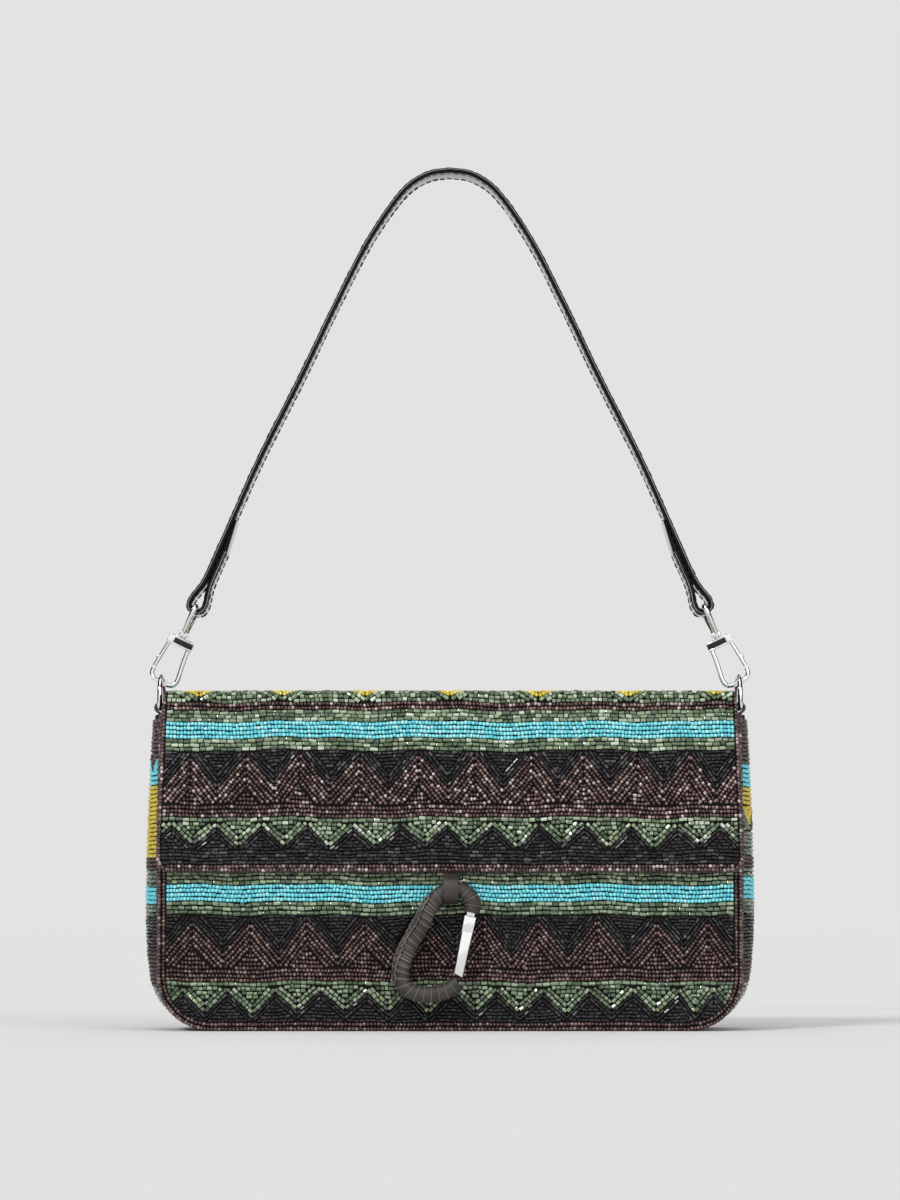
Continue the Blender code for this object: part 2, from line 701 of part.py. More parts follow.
def make_hook_gate(word, frame):
    root = (-gate_across, gate_root)
    tip = (HOOK_WIRE_SHARES[-1][1] * HOOK_LOOP_HALF_WIDTH, GATE_TIP_ALONG_SHARE * HOOK_LOOP_LENGTH)
    lean = math.degrees(math.atan2(tip[1] - root[1], tip[0] - root[0]))
    down = Vector((tip[0] - root[0], tip[1] - root[1])).normalized()
    outward = Vector((down.y, -down.x))
    tab = Vector(root).lerp(Vector(tip), THUMB_TAB_SHARE)
    half = GATE_WIDTH / 2
    bump = [tab + outward * half - down * GATE_THUMB_TAB, tab + outward * (half + GATE_THUMB_TAB),
            tab + outward * half + down * GATE_THUMB_TAB]
    outline = (
        arc(root, GATE_ROOT_RADIUS, lean + 130, lean + 230, 8)
        + arc(root, GATE_ROOT_RADIUS, lean + 235, lean + 300, 4)
        + [tuple(p) for p in bump]
        + arc(tip, half, lean - 90, lean + 90, 6)
        + arc(root, GATE_ROOT_RADIUS, lean + 60, lean + 125, 4)
    )
    hole = arc(root, RIVET_RADIUS + GAP, 0, 360 - 360 / SMALL_ROUND_SIDES, SMALL_ROUND_SIDES - 1)
    return plate(
        "hook_gate_" + word, [outline, hole], GATE_THICKNESS, METAL, frame @ in_plane(*FRONT_VIEW)
    )


def make_eye(word, frame):
    """The stirrup that the strap hangs on, and the base that the hook's post turns in."""
    foot = eye_base + EYE_BASE_HEIGHT / 2
    shoulder = eye_bar - 2 * EYE_WIRE_RADIUS - STRAP_THICKNESS - GAP
    half_route = [
        (0.0, EYE_LEG_FOOT, foot), (0.0, EYE_LEG_FOOT + EYE_WIRE_RADIUS, eye_top + EYE_WIRE_RADIUS),
        (0.0, eye_half, shoulder),
    ]
    half_route += [
        (0.0, y, z) for y, z in
        arc((eye_half - EYE_BASE_WIDTH / 2, eye_bar - EYE_BASE_WIDTH / 2), EYE_BASE_WIDTH / 2, 0, 90, 4)
    ]
    route = half_route + [(x, -y, z) for x, y, z in reversed(half_route)]
    eye = rod("strap_eye_" + word, route, EYE_WIRE_RADIUS, METAL, frame)
    half_base = EYE_LEG_FOOT + EYE_WIRE_RADIUS
    base = block(
        "eye_base_" + word, (-EYE_BASE_WIDTH / 2, -half_base, eye_base),
        (EYE_BASE_WIDTH / 2, half_base, eye_top), matrix=frame,
    )
    combine(eye, base, "UNION")
    bore = drum(
        "eye_bore_" + word, SWIVEL_POST_RADIUS + GAP, EYE_BASE_HEIGHT + CUT_OVERRUN,
        matrix=frame @ Matrix.Translation((0.0, 0.0, foot)), sides=SMALL_ROUND_SIDES,
    )
    combine(eye, bore, "DIFFERENCE")
    return eye


def strap_end(side):
    """The loop round one eye, from the fold-back to the arch, and where the arch starts."""
    up = Vector((-side * math.sin(HOOK_LEAN), math.cos(HOOK_LEAN)))
    inward = Vector((-side * math.cos(HOOK_LEAN), -math.sin(HOOK_LEAN)))
    base = Vector((side * ring_x, hook_z))
    centre = base + up * loop_centre
    neck = base + up * loop_neck - inward * (STRAP_THICKNESS + GAP) / 2
    opening = math.degrees(math.acos(STRAP_LOOP_RADIUS / STRAP_LOOP_NECK))
    loop = [
        tuple(centre + (up * math.cos(a) + inward * math.sin(a)) * STRAP_LOOP_RADIUS)
        for a in np.radians(np.linspace(opening, 360 - opening, 2 * ARC_STEPS + 1))
    ]
    return loop, tuple(neck)


def fold_back(arch_route):
    """The end of the strap, turned back along the inside of the arch's first stretch."""
    line = np.array(arch_route)
    ahead = np.gradient(line, axis=0)
    ahead /= np.linalg.norm(ahead, axis=1)[:, None]
    inside = np.stack([ahead[:, 1], -ahead[:, 0]], axis=1) * (STRAP_THICKNESS + GAP)
    run = np.concatenate([[0.0], np.cumsum(np.linalg.norm(np.diff(line, axis=0), axis=1))])
    ply = line + inside
    ends = [np.interp(STRAP_FOLD_LENGTH, run, ply[:, i]) for i in (0, 1)]
    return [tuple(ends)] + [tuple(p) for p, at in zip(ply[::-1], run[::-1]) if at < STRAP_FOLD_LENGTH]


def make_strap():
    """One leather strap: a folded loop at each end and the arch between them."""
    loop, neck = strap_end(-1)
    rise = strap_top_z - neck[1]
    half_arch = smooth_route(
        [(neck[0] * across, neck[1] + rise * up) for across, up in STRAP_ARCH_SHARES], CURVE_STEPS + 1
    )
    half = fold_back(half_arch) + loop + half_arch
    route = half + [(-x, z) for x, z in half[-2::-1]]
    outline = ribbon_outline(route, STRAP_THICKNESS)
    return plate("strap", [outline], STRAP_WIDTH, LEATHER, in_plane(*FRONT_VIEW))


def make_strap_and_hooks():
    strap_axis = axis_empty("strap_axis", (0.0, 0.0, hook_z))
    hang_on(strap_axis, make_strap())
    make_hook(-1, "left", strap_axis)
    make_hook(1, "right", strap_axis)


def make_charm_loop(fold_axis):
    """A leather band with the carabiner through it, hinged at the flap's hem."""
    matrix = in_plane(*SIDE_VIEW, origin=(CHARM_OFFSET, charm_y, charm_ring_z))
    loop = drum("charm_loop", charm_ring_radius, CHARM_LOOP_WIDTH, LEATHER, matrix)
    neck = side_plate(
        "charm_neck",
        [arc((charm_hinge_y, charm_hinge_z), CHARM_LEATHER, 0, 180, 8)
         + [(charm_hinge_y - CHARM_LEATHER, charm_ring_z), (charm_hinge_y + CHARM_LEATHER, charm_ring_z)]],
        CHARM_LOOP_WIDTH, None, CHARM_OFFSET,
    )
    combine(loop, neck, "UNION")
    bore = drum("charm_bore", charm_hole_radius, CHARM_LOOP_WIDTH + CUT_OVERRUN, matrix=matrix)
    combine(loop, bore, "DIFFERENCE")
    hinge = axis_empty("charm_axis", (CHARM_OFFSET, charm_hinge_y, charm_hinge_z))
    hang_on(fold_axis, hinge)
    hang_on(hinge, loop)
    return hinge


def make_carabiner(charm_hinge):
    upright = in_plane(*FRONT_VIEW, origin=(0.0, charm_y, 0.0))
    shares = smooth_route(CARABINER_ROUTE_SHARES, CURVE_STEPS)
    route = [
        (carabiner_left + across * CARABINER_WIDTH, carabiner_base + up * CARABINER_HEIGHT, 0.0)
        for across, up in shares
    ]
    core = rod("carabiner_core", route, CORE_RADIUS, METAL, upright)
    wrap = rod("carabiner_wrap", route, wrap_radius, LEATHER, upright, capped=False)
    wall = wrap.modifiers.new("wall", "SOLIDIFY")
    wall.thickness = WRAP_THICKNESS
    wall.offset = -1.0

    top = Vector(route[0])
    along = Vector((-math.sin(CHARM_GATE_LEAN), -math.cos(CHARM_GATE_LEAN), 0.0))
    pivot = top + along * (CORE_END + TONGUE_REACH)
    lean = math.degrees(math.atan2(along.y, along.x))
    tongue_outline = arc(pivot, TONGUE_RADIUS, lean - 90, lean + 90) + arc(
        top, TONGUE_RADIUS, lean + 90, lean + 270, 4
    )
    tongue = plate("tongue", [tongue_outline], TONGUE_THICKNESS, None, upright)
    combine(core, tongue, "UNION")
    pivot_matrix = upright @ Matrix.Translation(pivot)
    bore = drum(
        "carabiner_bore", RIVET_RADIUS + GAP, CHARM_GATE_THICKNESS + CUT_OVERRUN,
        matrix=pivot_matrix, sides=SMALL_ROUND_SIDES,
    )
    combine(core, bore, "DIFFERENCE")
    rivet = make_rivet("carabiner_rivet", CHARM_GATE_THICKNESS, pivot_matrix)

    start = top + along * (CORE_END + GAP)
    end = pivot + along * CHARM_GATE_LENGTH
    across = Vector((-along.y, along.x, 0.0))
    wide = across * CHARM_GATE_TOP_WIDTH / 2
    narrow = across * CHARM_GATE_TIP_WIDTH / 2
    gate_outline = [tuple((p.x, p.y)) for p in (start - wide, end - narrow, end + narrow, start + wide)]
    rivet_hole = arc(pivot, RIVET_RADIUS + GAP, 0, 360 - 360 / SMALL_ROUND_SIDES, SMALL_ROUND_SIDES - 1)
    gate = plate("carabiner_gate", [gate_outline, rivet_hole], CHARM_GATE_THICKNESS, METAL, upright)
    channel_half = TONGUE_THICKNESS / 2 + GAP
    channel = plate(
        "gate_channel",
        [[tuple((p.x, p.y)) for p in (
            start - along * CUT_OVERRUN - 2 * wide,
            pivot + along * (TONGUE_RADIUS + GAP) - 2 * wide,
            pivot + along * (TONGUE_RADIUS + GAP) + 2 * wide,
            start - along * CUT_OVERRUN + 2 * wide)]],
        2 * channel_half, None, upright,
    )
    combine(gate, channel, "DIFFERENCE")
    swing = axis_empty("carabiner_axis", (CHARM_OFFSET, charm_y, charm_ring_z))
    gate_axis = axis_empty("carabiner_gate_axis", pivot_matrix.translation)
    hang_on(charm_hinge, swing)
    hang_on(swing, core, wrap, rivet, gate_axis)
    hang_on(gate_axis, gate)


make_panels()
make_gusset()
make_inside()
make_top_panel()
lift_axis = make_flap_upper()
fold_axis = make_flap_front(lift_axis)
make_ring(-1, "left")
make_ring(1, "right")
make_strap_and_hooks()
charm_hinge = make_charm_loop(fold_axis)
make_carabiner(charm_hinge)
bpy.context.view_layer.update()
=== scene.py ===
# %% [markdown]
# # A beaded shoulder bag
#
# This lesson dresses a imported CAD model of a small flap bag. The body is covered in glass
# beads sewn in rows, a leather strap hangs on two snap hooks, and a leather-wrapped
# carabiner hangs from the flap.
#
# The CAD model is loaded first and never changed. It gives the place of every part and the
# joints. What we add are the looks: each bead, the cloth under them, leather and metal.

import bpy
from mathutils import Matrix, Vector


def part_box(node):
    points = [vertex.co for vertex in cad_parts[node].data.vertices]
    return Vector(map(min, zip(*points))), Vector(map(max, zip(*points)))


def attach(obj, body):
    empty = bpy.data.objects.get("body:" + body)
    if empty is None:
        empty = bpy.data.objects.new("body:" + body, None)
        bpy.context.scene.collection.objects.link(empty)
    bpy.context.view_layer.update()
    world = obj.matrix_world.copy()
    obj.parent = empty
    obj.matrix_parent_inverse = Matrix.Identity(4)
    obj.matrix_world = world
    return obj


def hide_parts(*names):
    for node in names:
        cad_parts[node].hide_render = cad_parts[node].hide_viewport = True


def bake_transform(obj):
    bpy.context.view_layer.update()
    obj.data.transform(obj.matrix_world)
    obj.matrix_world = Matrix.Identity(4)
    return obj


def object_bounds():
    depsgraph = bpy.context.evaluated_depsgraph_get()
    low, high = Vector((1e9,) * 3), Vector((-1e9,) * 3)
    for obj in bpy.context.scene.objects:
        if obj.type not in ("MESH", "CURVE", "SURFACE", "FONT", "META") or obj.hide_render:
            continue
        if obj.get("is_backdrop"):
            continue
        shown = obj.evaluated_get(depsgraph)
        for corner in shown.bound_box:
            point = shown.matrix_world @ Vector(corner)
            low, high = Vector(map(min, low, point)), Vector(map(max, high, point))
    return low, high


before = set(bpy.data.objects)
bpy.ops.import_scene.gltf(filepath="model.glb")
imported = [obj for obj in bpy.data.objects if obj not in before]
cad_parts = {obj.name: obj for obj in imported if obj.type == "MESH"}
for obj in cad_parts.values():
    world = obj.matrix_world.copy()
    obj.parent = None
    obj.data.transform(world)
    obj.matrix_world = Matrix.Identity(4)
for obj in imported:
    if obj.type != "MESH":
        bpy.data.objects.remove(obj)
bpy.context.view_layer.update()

# %% [markdown]
# The other modules come next. Every size below is in metres, because the frame is, and
# `MM` lets us write the sizes of small things the way a maker says them.

# %% Modules and units
import math

import bmesh
import bpy
import numpy as np
from mathutils import Matrix, Vector

MM = 0.001
SIDES = ((-1, "left"), (1, "right"))
draw = np.random.default_rng(20)


def mm(*sizes):
    """Sizes in metres from sizes in millimetres."""
    return tuple(size * MM for size in sizes)


def full_turn(steps):
    """Angles evenly spread over one turn."""
    return np.linspace(0, 2 * math.pi, steps, endpoint=False)


def run_of(line):
    """How far along a line each of its points lies."""
    return np.concatenate([[0.0], np.cumsum(np.linalg.norm(np.diff(line, axis=0), axis=1))])


def joined_sines(a, b, seed):
    """A slow wave between -1 and 1 over the plane, for rows that hands have sewn."""
    return (
        0.45 * np.sin(a * 105 + seed) + 0.30 * np.sin(a * 230 + b * 60 + 2.1 * seed)
        + 0.25 * np.sin(a * 47 - b * 90 + 3.7 * seed)
    )


# %% [markdown]
# ## The sizes of the bag
#
# These are the sizes that the CAD model was built with. A new piece that stands for a CAD
# node has to lie where the node lies, so the same numbers appear here once more.

# %% Sizes shared with the CAD model
HALF_WIDTH = 120.5 * MM
PANEL_FRONT_Y = -21.7 * MM
REAR_Y = 25.0 * MM
BAG_TOP = 140.0 * MM
FRONT_PANEL_TOP = 128.0 * MM
CORNER = 22.0 * MM
HEM = 65.0 * MM
FLAP_TOP_HALF = 118.5 * MM
FLAP_HEM_HALF = 121.0 * MM
FLAP_CORNER = 6.0 * MM
FOLD_Y = -21.5 * MM
FOLD_Z = 136.5 * MM
FOLD_RADIUS = 3.5 * MM
BACK_FOLD_Y = 21.0 * MM
BACK_FOLD_RADIUS = 4.0 * MM
GUSSET_TOP = 130.4 * MM
GUSSET_MID_Y = 1.65 * MM
GUSSET_HALF = 20.45 * MM
GUSSET_BULGE = 6.7 * MM
RIM_BULGE_SHARE = 0.6
FULL_BULGE_SHARE = 0.35
RING_X = 121.015 * MM
BAR_Z = 133.6 * MM
RING_APEX_Z = 147.3 * MM
RING_HALF = 8.9 * MM
HOOK_Z = 144.597 * MM
HOOK_LEAN = math.radians(25)
MAGNET_Z = 89.0 * MM
MAGNET_RADIUS = 9.0 * MM
LINING_FRONT_Y = -17.5 * MM
LINING_REAR_Y = 20.8 * MM
LINING_TOP = 128.9 * MM
LINING_BASE = 4.5 * MM
LINING_INSET = 2.65 * MM
CHARM_X = 0.4 * MM
CHARM_Y = -28.0 * MM

# %% [markdown]
# ## Helpers for making pieces
#
# A piece starts as a bmesh, a small editable mesh. The helpers turn one into an object with
# its finish, and let it ride on the CAD body that carries it. A finished object always sits
# at the origin, so patterns that read its coordinates stay put when the part is exported.

# %% Turning a bmesh into a piece
def finished(name, form, finish, body=None, stands_for=(), smooth=35.0):
    """Makes the object, shades it smooth up to an angle, and lets it ride on a body."""
    mesh = bpy.data.meshes.new(name)
    bmesh.ops.recalc_face_normals(form, faces=form.faces)
    form.normal_update()
    form.to_mesh(mesh)
    form.free()
    return placed(name, mesh, finish, body, stands_for, smooth)


def placed(name, mesh, finish, body=None, stands_for=(), smooth=35.0):
    """Makes an object of a mesh, lets it ride on the body that carries it, and hides the CAD nodes
    it stands for.
    """
    piece = bpy.data.objects.new(name, mesh)
    bpy.context.scene.collection.objects.link(piece)
    for part_finish in finish if isinstance(finish, list) else [finish]:
        mesh.materials.append(part_finish)
    if smooth is not None:
        mesh.shade_smooth()
        mesh.set_sharp_from_angle(angle=math.radians(smooth))
    if body is not None:
        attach(piece, body)
    if stands_for:
        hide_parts(*stands_for)
    return piece


def bend_to(form, mapping):
    """Moves every vertex from flat sheet coordinates to its place in the bag."""
    flat = np.array([v.co for v in form.verts])
    bent = np.stack(mapping(flat[:, 0], flat[:, 1], flat[:, 2]), axis=1)
    for vertex, place in zip(form.verts, bent):
        vertex.co = place


def slice_up(form, direction, low, high, step):
    """Cuts a form into slices with parallel planes, so that it can bend smoothly."""
    for at in np.arange(low + step, high - step / 2, step):
        everything = form.verts[:] + form.edges[:] + form.faces[:]
        point = Vector(direction) * float(at)
        bmesh.ops.bisect_plane(form, geom=everything, plane_co=point, plane_no=direction)


def box_form(low, high):
    """A box between two corners."""
    form = bmesh.new()
    bmesh.ops.create_cube(form, size=1.0)
    low, high = Vector(low), Vector(high)
    bmesh.ops.scale(form, vec=high - low, verts=form.verts)
    bmesh.ops.translate(form, vec=(low + high) / 2, verts=form.verts)
    return form


def add_form(form, part):
    """Adds one form to another and uses it up."""
    held = bpy.data.meshes.new("part")
    part.to_mesh(held)
    part.free()
    form.from_mesh(held)
    bpy.data.meshes.remove(held)


def edges_along(form, axis):
    """The straight edges that run along one axis."""
    found = []
    for edge in form.edges:
        run = edge.verts[1].co - edge.verts[0].co
        if abs(run[axis]) > 0.999 * run.length:
            found.append(edge)
    return found


def round_off(form, edges, width, segments=3):
    """Bevels edges with a round profile."""
    bmesh.ops.bevel(
        form, geom=edges, offset=width, segments=segments, profile=0.5, affect="EDGES",
        clamp_overlap=True, material=-1,
    )


# %% [markdown]
# A wire or tube is swept: a circle is extruded from point to point of its route, and each
# new ring is turned to face the way ahead. Turning each ring only as much as the route
# turns keeps the tube from twisting.

# %% Sweeping a wire along a route
def turned_frames(route, closed):
    """For each point of a route, a matrix with Z along the route and no twist."""
    points = [Vector(p) for p in route]
    count = len(points)
    ahead = []
    for i in range(count):
        before = points[i - 1] if closed or i > 0 else points[0]
        after = points[(i + 1) % count] if closed or i < count - 1 else points[-1]
        ahead.append((after - before).normalized())
    side = ahead[0].orthogonal().normalized()
    frames = []
    for i in range(count):
        if i:
            side = ahead[i - 1].rotation_difference(ahead[i]) @ side
        side = (side - ahead[i] * side.dot(ahead[i])).normalized()
        other = ahead[i].cross(side)
        frames.append(Matrix((side, other, ahead[i])).transposed().to_4x4())
        frames[-1].translation = points[i]
    return frames


def swept(route, radius, sides=12, closed=False, form=None):
    """A round tube along a route. The radius is one number or one for each point."""
    form = form or bmesh.new()
    frames = turned_frames(route, closed)
    radii = [radius] * len(route) if np.isscalar(radius) else list(radius)
    first = bmesh.ops.create_circle(form, segments=sides, radius=radii[0], matrix=frames[0])
    start = list({e for v in first["verts"] for e in v.link_edges})
    last = start
    for i in range(1, len(route)):
        grown = bmesh.ops.extrude_edge_only(form, edges=last)["geom"]
        ring = [g for g in grown if isinstance(g, bmesh.types.BMVert)]
        near = {e for v in ring for e in v.link_edges}
        last = [e for e in near if all(v in ring for v in e.verts)]
        size = radii[i] / radii[i - 1]
        step = frames[i] @ Matrix.Diagonal((size, size, 1.0, 1.0)) @ frames[i - 1].inverted()
        bmesh.ops.transform(form, matrix=step, verts=ring)
    if closed:
        bmesh.ops.bridge_loops(form, edges=start + last)
    else:
        bmesh.ops.edgeloop_fill(form, edges=start)
        bmesh.ops.edgeloop_fill(form, edges=last)
    return form


def arc(centre, radius, start, end, steps):
    """Points on an arc in a plane, with angles in degrees."""
    turns = np.radians(np.linspace(start, end, steps + 1))
    return [(centre[0] + radius * math.cos(t), centre[1] + radius * math.sin(t)) for t in turns]


def smooth_route(points, steps):
    """Points along a smooth curve that passes through the given ones."""
    given = np.array(points, dtype=float)
    padded = np.vstack([2 * given[0] - given[1], given, 2 * given[-1] - given[-2]])
    route = []
    for i in range(1, len(padded) - 2):
        before, start, end, after = padded[i - 1:i + 3]
        bend = 2 * before - 5 * start + 4 * end - after
        twist = 3 * start - before - 3 * end + after
        for t in np.arange(steps) / steps:
            route.append(0.5 * (2 * start + (end - before) * t + bend * t ** 2 + twist * t ** 3))
    route.append(given[-1])
    return [tuple(p) for p in route]


# %% [markdown]
# ## Finishes
#
# Each finish is a small node tree on Blender's own shader. Beads take a number from an
# attribute of tone and shade: a tone drawn once for each bead, so that neighbours differ as
# glass beads do, times a painted shade on beads low on a sheet and on beads that face the
# sides. Leather and cloth get their grain and weave from noise on the object's own
# coordinates, with a bump to catch the light.

# %% A start for every finish
def shader_of(name, colour, rough, metallic=0.0, coat=0.0, coat_rough=0.1, sheen=0.0):
    """A new finish with one colour and gloss, its node tree and its shader."""
    made = bpy.data.materials.new(name)
    made.use_nodes = True
    tree = made.node_tree
    shader = tree.nodes["Principled BSDF"]
    made.diffuse_color = (*colour, 1.0)
    for socket, value in (
        ("Base Color", (*colour, 1.0)), ("Roughness", rough), ("Metallic", metallic),
        ("Coat Weight", coat), ("Coat Roughness", coat_rough), ("Sheen Weight", sheen),
    ):
        shader.inputs[socket].default_value = value
    return made, tree, shader


def add_node(tree, kind, **values):
    """A node with its input sockets set by name."""
    made = tree.nodes.new(kind)
    for socket, value in values.items():
        made.inputs[socket.replace("_", " ")].default_value = value
    return made


def place_on_object(tree, made):
    """Lets a texture lie in the object's own coordinates."""
    where = tree.nodes.new("ShaderNodeTexCoord")
    tree.links.new(where.outputs["Object"], made.inputs["Vector"])


def ramp(tree, source, stops):
    """A colour ramp with its stops, fed by a socket."""
    made = tree.nodes.new("ShaderNodeValToRGB")
    while len(made.color_ramp.elements) < len(stops):
        made.color_ramp.elements.new(0.5)
    for element, (at, colour) in zip(made.color_ramp.elements, stops):
        element.position = at
        element.color = (*colour, 1.0)
    tree.links.new(source, made.inputs["Fac"])
    return made.outputs["Color"]


def span(tree, source, low, high):
    """Stretches a value from 0..1 to low..high."""
    made = add_node(tree, "ShaderNodeMapRange", To_Min=low, To_Max=high)
    tree.links.new(source, made.inputs["Value"])
    return made.outputs["Result"]


def combined(tree, operation, *sources):
    """Sums done on sockets and plain numbers."""
    made = tree.nodes.new("ShaderNodeMath")
    made.operation = operation
    for socket, source in zip(made.inputs, sources):
        if isinstance(source, float):
            socket.default_value = source
        else:
            tree.links.new(source, socket)
    return made.outputs["Value"]


def noise(tree, scale, detail=3.0, rough=0.55, stretch=(1.0, 1.0, 1.0)):
    """Cloudy values over the object's own coordinates."""
    turn = add_node(tree, "ShaderNodeMapping", Scale=stretch)
    made = add_node(tree, "ShaderNodeTexNoise", Scale=scale, Detail=detail, Roughness=rough)
    place_on_object(tree, turn)
    tree.links.new(turn.outputs["Vector"], made.inputs["Vector"])
    return made.outputs["Fac"]


def bump(tree, shader, height, strength, distance):
    """Lets a socket's value raise the surface for the light."""
    made = add_node(tree, "ShaderNodeBump", Strength=strength, Distance=distance)
    tree.links.new(height, made.inputs["Height"])
    tree.links.new(made.outputs["Normal"], shader.inputs["Normal"])


# %% Glass beads
def bead_finish(name, stops, rough, metallic=0.0, coat=0.0):
    """A bead colour that runs over a few stops, and a gloss that differs from bead to bead."""
    made, tree, shader = shader_of(name, stops[1][1], rough[0], metallic, coat, 0.08)
    tone_and_shade = tree.nodes.new("ShaderNodeAttribute")
    tone_and_shade.attribute_name = "tone_and_shade"
    tree.links.new(ramp(tree, tone_and_shade.outputs["Fac"], stops), shader.inputs["Base Color"])
    tree.links.new(span(tree, tone_and_shade.outputs["Fac"], *rough), shader.inputs["Roughness"])
    return made


# The palest stop of the brown, green and black ramps is partly the beads' own uneven colour and
# partly a painted highlight: it stands in for glints on the few beads that draw a high tone.
BEAD_FINISH = {
    "brown": bead_finish(
        "bead_bronze_brown",
        [(0.0, (0.028, 0.012, 0.012)), (0.45, (0.085, 0.043, 0.040)), (0.82, (0.23, 0.145, 0.132)),
         (1.0, (0.62, 0.52, 0.49))],
        (0.36, 0.14), 0.35, 0.6,
    ),
    "green": bead_finish(
        "bead_sage_green",
        [(0.0, (0.044, 0.074, 0.040)), (0.45, (0.138, 0.200, 0.114)), (0.82, (0.33, 0.42, 0.26)),
         (1.0, (0.62, 0.70, 0.56))],
        (0.30, 0.10), 0.1, 0.6,
    ),
    "cyan": bead_finish(
        "bead_turquoise",
        [(0.0, (0.11, 0.60, 0.72)), (0.5, (0.20, 0.80, 0.88)), (1.0, (0.46, 0.94, 0.97))],
        (0.30, 0.16), 0.0, 0.5,
    ),
    "yellow": bead_finish(
        "bead_gold_yellow",
        [(0.0, (0.55, 0.40, 0.025)), (0.5, (0.77, 0.61, 0.06)), (1.0, (0.87, 0.76, 0.20))],
        (0.30, 0.16), 0.0, 0.5,
    ),
    "black": bead_finish(
        "bead_black",
        [(0.0, (0.002, 0.002, 0.002)), (0.5, (0.006, 0.005, 0.006)), (0.8, (0.024, 0.020, 0.024)),
         (1.0, (0.100, 0.088, 0.100))],
        (0.34, 0.14), 0.0, 0.0,
    ),
}


# %% Cloth under the beads, lining, leather and metal
def woven(name, colour, second, thread, rough=0.9, sheen=0.1):
    """A cloth: two crossing sets of threads, and slow changes of shade."""
    made, tree, shader = shader_of(name, colour, rough, sheen=sheen)
    shader.inputs["Specular IOR Level"].default_value = 0.2
    sets = []
    for direction in ("X", "Z"):
        wave = add_node(tree, "ShaderNodeTexWave", Scale=1 / thread / 2, Distortion=1.2, Detail=1.0)
        wave.bands_direction = direction
        place_on_object(tree, wave)
        sets.append(wave.outputs["Fac"])
    shade = ramp(tree, noise(tree, 90.0), [(0.3, colour), (0.7, second)])
    tree.links.new(shade, shader.inputs["Base Color"])
    bump(tree, shader, combined(tree, "MULTIPLY", *sets), 0.35, 0.15 * MM)
    return made


def leather(name, colour, second, rough, grain, coat=0.0, specular=0.5):
    """Leather: cells for the grain, a slow mottle, and more gloss where it is rubbed."""
    made, tree, shader = shader_of(name, colour, rough, coat=coat, coat_rough=0.10)
    shader.inputs["Specular IOR Level"].default_value = specular
    cells = add_node(tree, "ShaderNodeTexVoronoi", Scale=1 / grain, Randomness=1.0)
    cells.feature = "SMOOTH_F1"
    place_on_object(tree, cells)
    mottle = noise(tree, 140.0, 5.0)
    shade = ramp(tree, mottle, [(0.35, colour), (0.65, second)])
    tree.links.new(shade, shader.inputs["Base Color"])
    tree.links.new(span(tree, mottle, rough + 0.08, rough - 0.08), shader.inputs["Roughness"])
    bump(tree, shader, cells.outputs["Distance"], 0.30, 0.12 * MM)
    return made


def metal(name, colour, rough, scratch=0.25):
    """Plated metal: hair scratches along one way, and faint smudges in the gloss."""
    made, tree, shader = shader_of(name, colour, rough, metallic=1.0)
    smudge = noise(tree, 160.0, 4.0)
    gloss = span(tree, smudge, max(0.02, rough - 0.05), rough + 0.10)
    tree.links.new(gloss, shader.inputs["Roughness"])
    hair = noise(tree, 4000.0, 2.0, stretch=(1.0, 1.0, 12.0))
    bump(tree, shader, hair, scratch, 0.002 * MM)
    return made


BACKING = woven("backing_cloth", (0.004, 0.004, 0.004), (0.008, 0.007, 0.007), 0.45 * MM, sheen=0.0)
LINING = woven("lining_cloth", (0.022, 0.020, 0.020), (0.036, 0.033, 0.032), 0.40 * MM)
PIPING = woven("piping_tape", (0.016, 0.014, 0.014), (0.028, 0.026, 0.025), 0.55 * MM)
BOARD = woven("stiffener_board", (0.30, 0.25, 0.19), (0.38, 0.32, 0.25), 1.2 * MM)
STRAP_LEATHER = leather(
    "strap_leather", (0.010, 0.007, 0.007), (0.022, 0.015, 0.014), 0.30, 0.55 * MM, 1.0
)
# Pale leather between the plies, seen as a thin line along the strap's edges. It is partly a real
# core ply and partly a painted highlight, standing in for the glint along the domed edge paint.
STRAP_CORE_AND_HIGHLIGHT = leather("strap_core_and_highlight", (0.24, 0.22, 0.21), (0.34, 0.32, 0.31), 0.45, 0.5 * MM)
EDGE_PAINT = leather(
    "painted_leather_edge", (0.004, 0.003, 0.003), (0.008, 0.006, 0.006), 0.30, 0.9 * MM, 0.0, 0.12
)
# The lace is paler than the tape: partly its own leather, partly a painted highlight that stands in
# for the glints on its loops.
LACE_LEATHER_AND_HIGHLIGHT = leather("lace_leather_and_highlight", (0.075, 0.063, 0.055), (0.20, 0.175, 0.155), 0.42, 0.30 * MM)
WRAP_LEATHER = leather(
    "tape_leather", (0.027, 0.022, 0.019), (0.048, 0.040, 0.035), 0.52, 0.35 * MM
)
TAPE_EDGE = leather("tape_cut_edge", (0.17, 0.145, 0.13), (0.26, 0.225, 0.20), 0.6, 0.3 * MM)
THREAD = leather("waxed_thread", (0.035, 0.030, 0.028), (0.060, 0.052, 0.048), 0.55, 0.20 * MM)
CHROME = metal("bright_chrome", (0.86, 0.86, 0.87), 0.07)
GATE_STEEL = metal("polished_steel", (0.93, 0.93, 0.93), 0.10, 0.15)
STEEL = metal("brushed_steel", (0.80, 0.80, 0.80), 0.20, 0.5)
BLACK_STEEL = metal("blackened_steel", (0.035, 0.035, 0.037), 0.22, 0.3)


# %% [markdown]
# ## Beads
#
# The real bag uses three kinds. Seed beads are short barrels, a little wider than long, in
# brown, turquoise and yellow. Cut beads are short hexagonal tubes with soft rims, in green.
# Bugles are long thin hexagonal tubes, in black. There are tens of thousands of them, so
# each kind is modelled once with few faces and then copied.

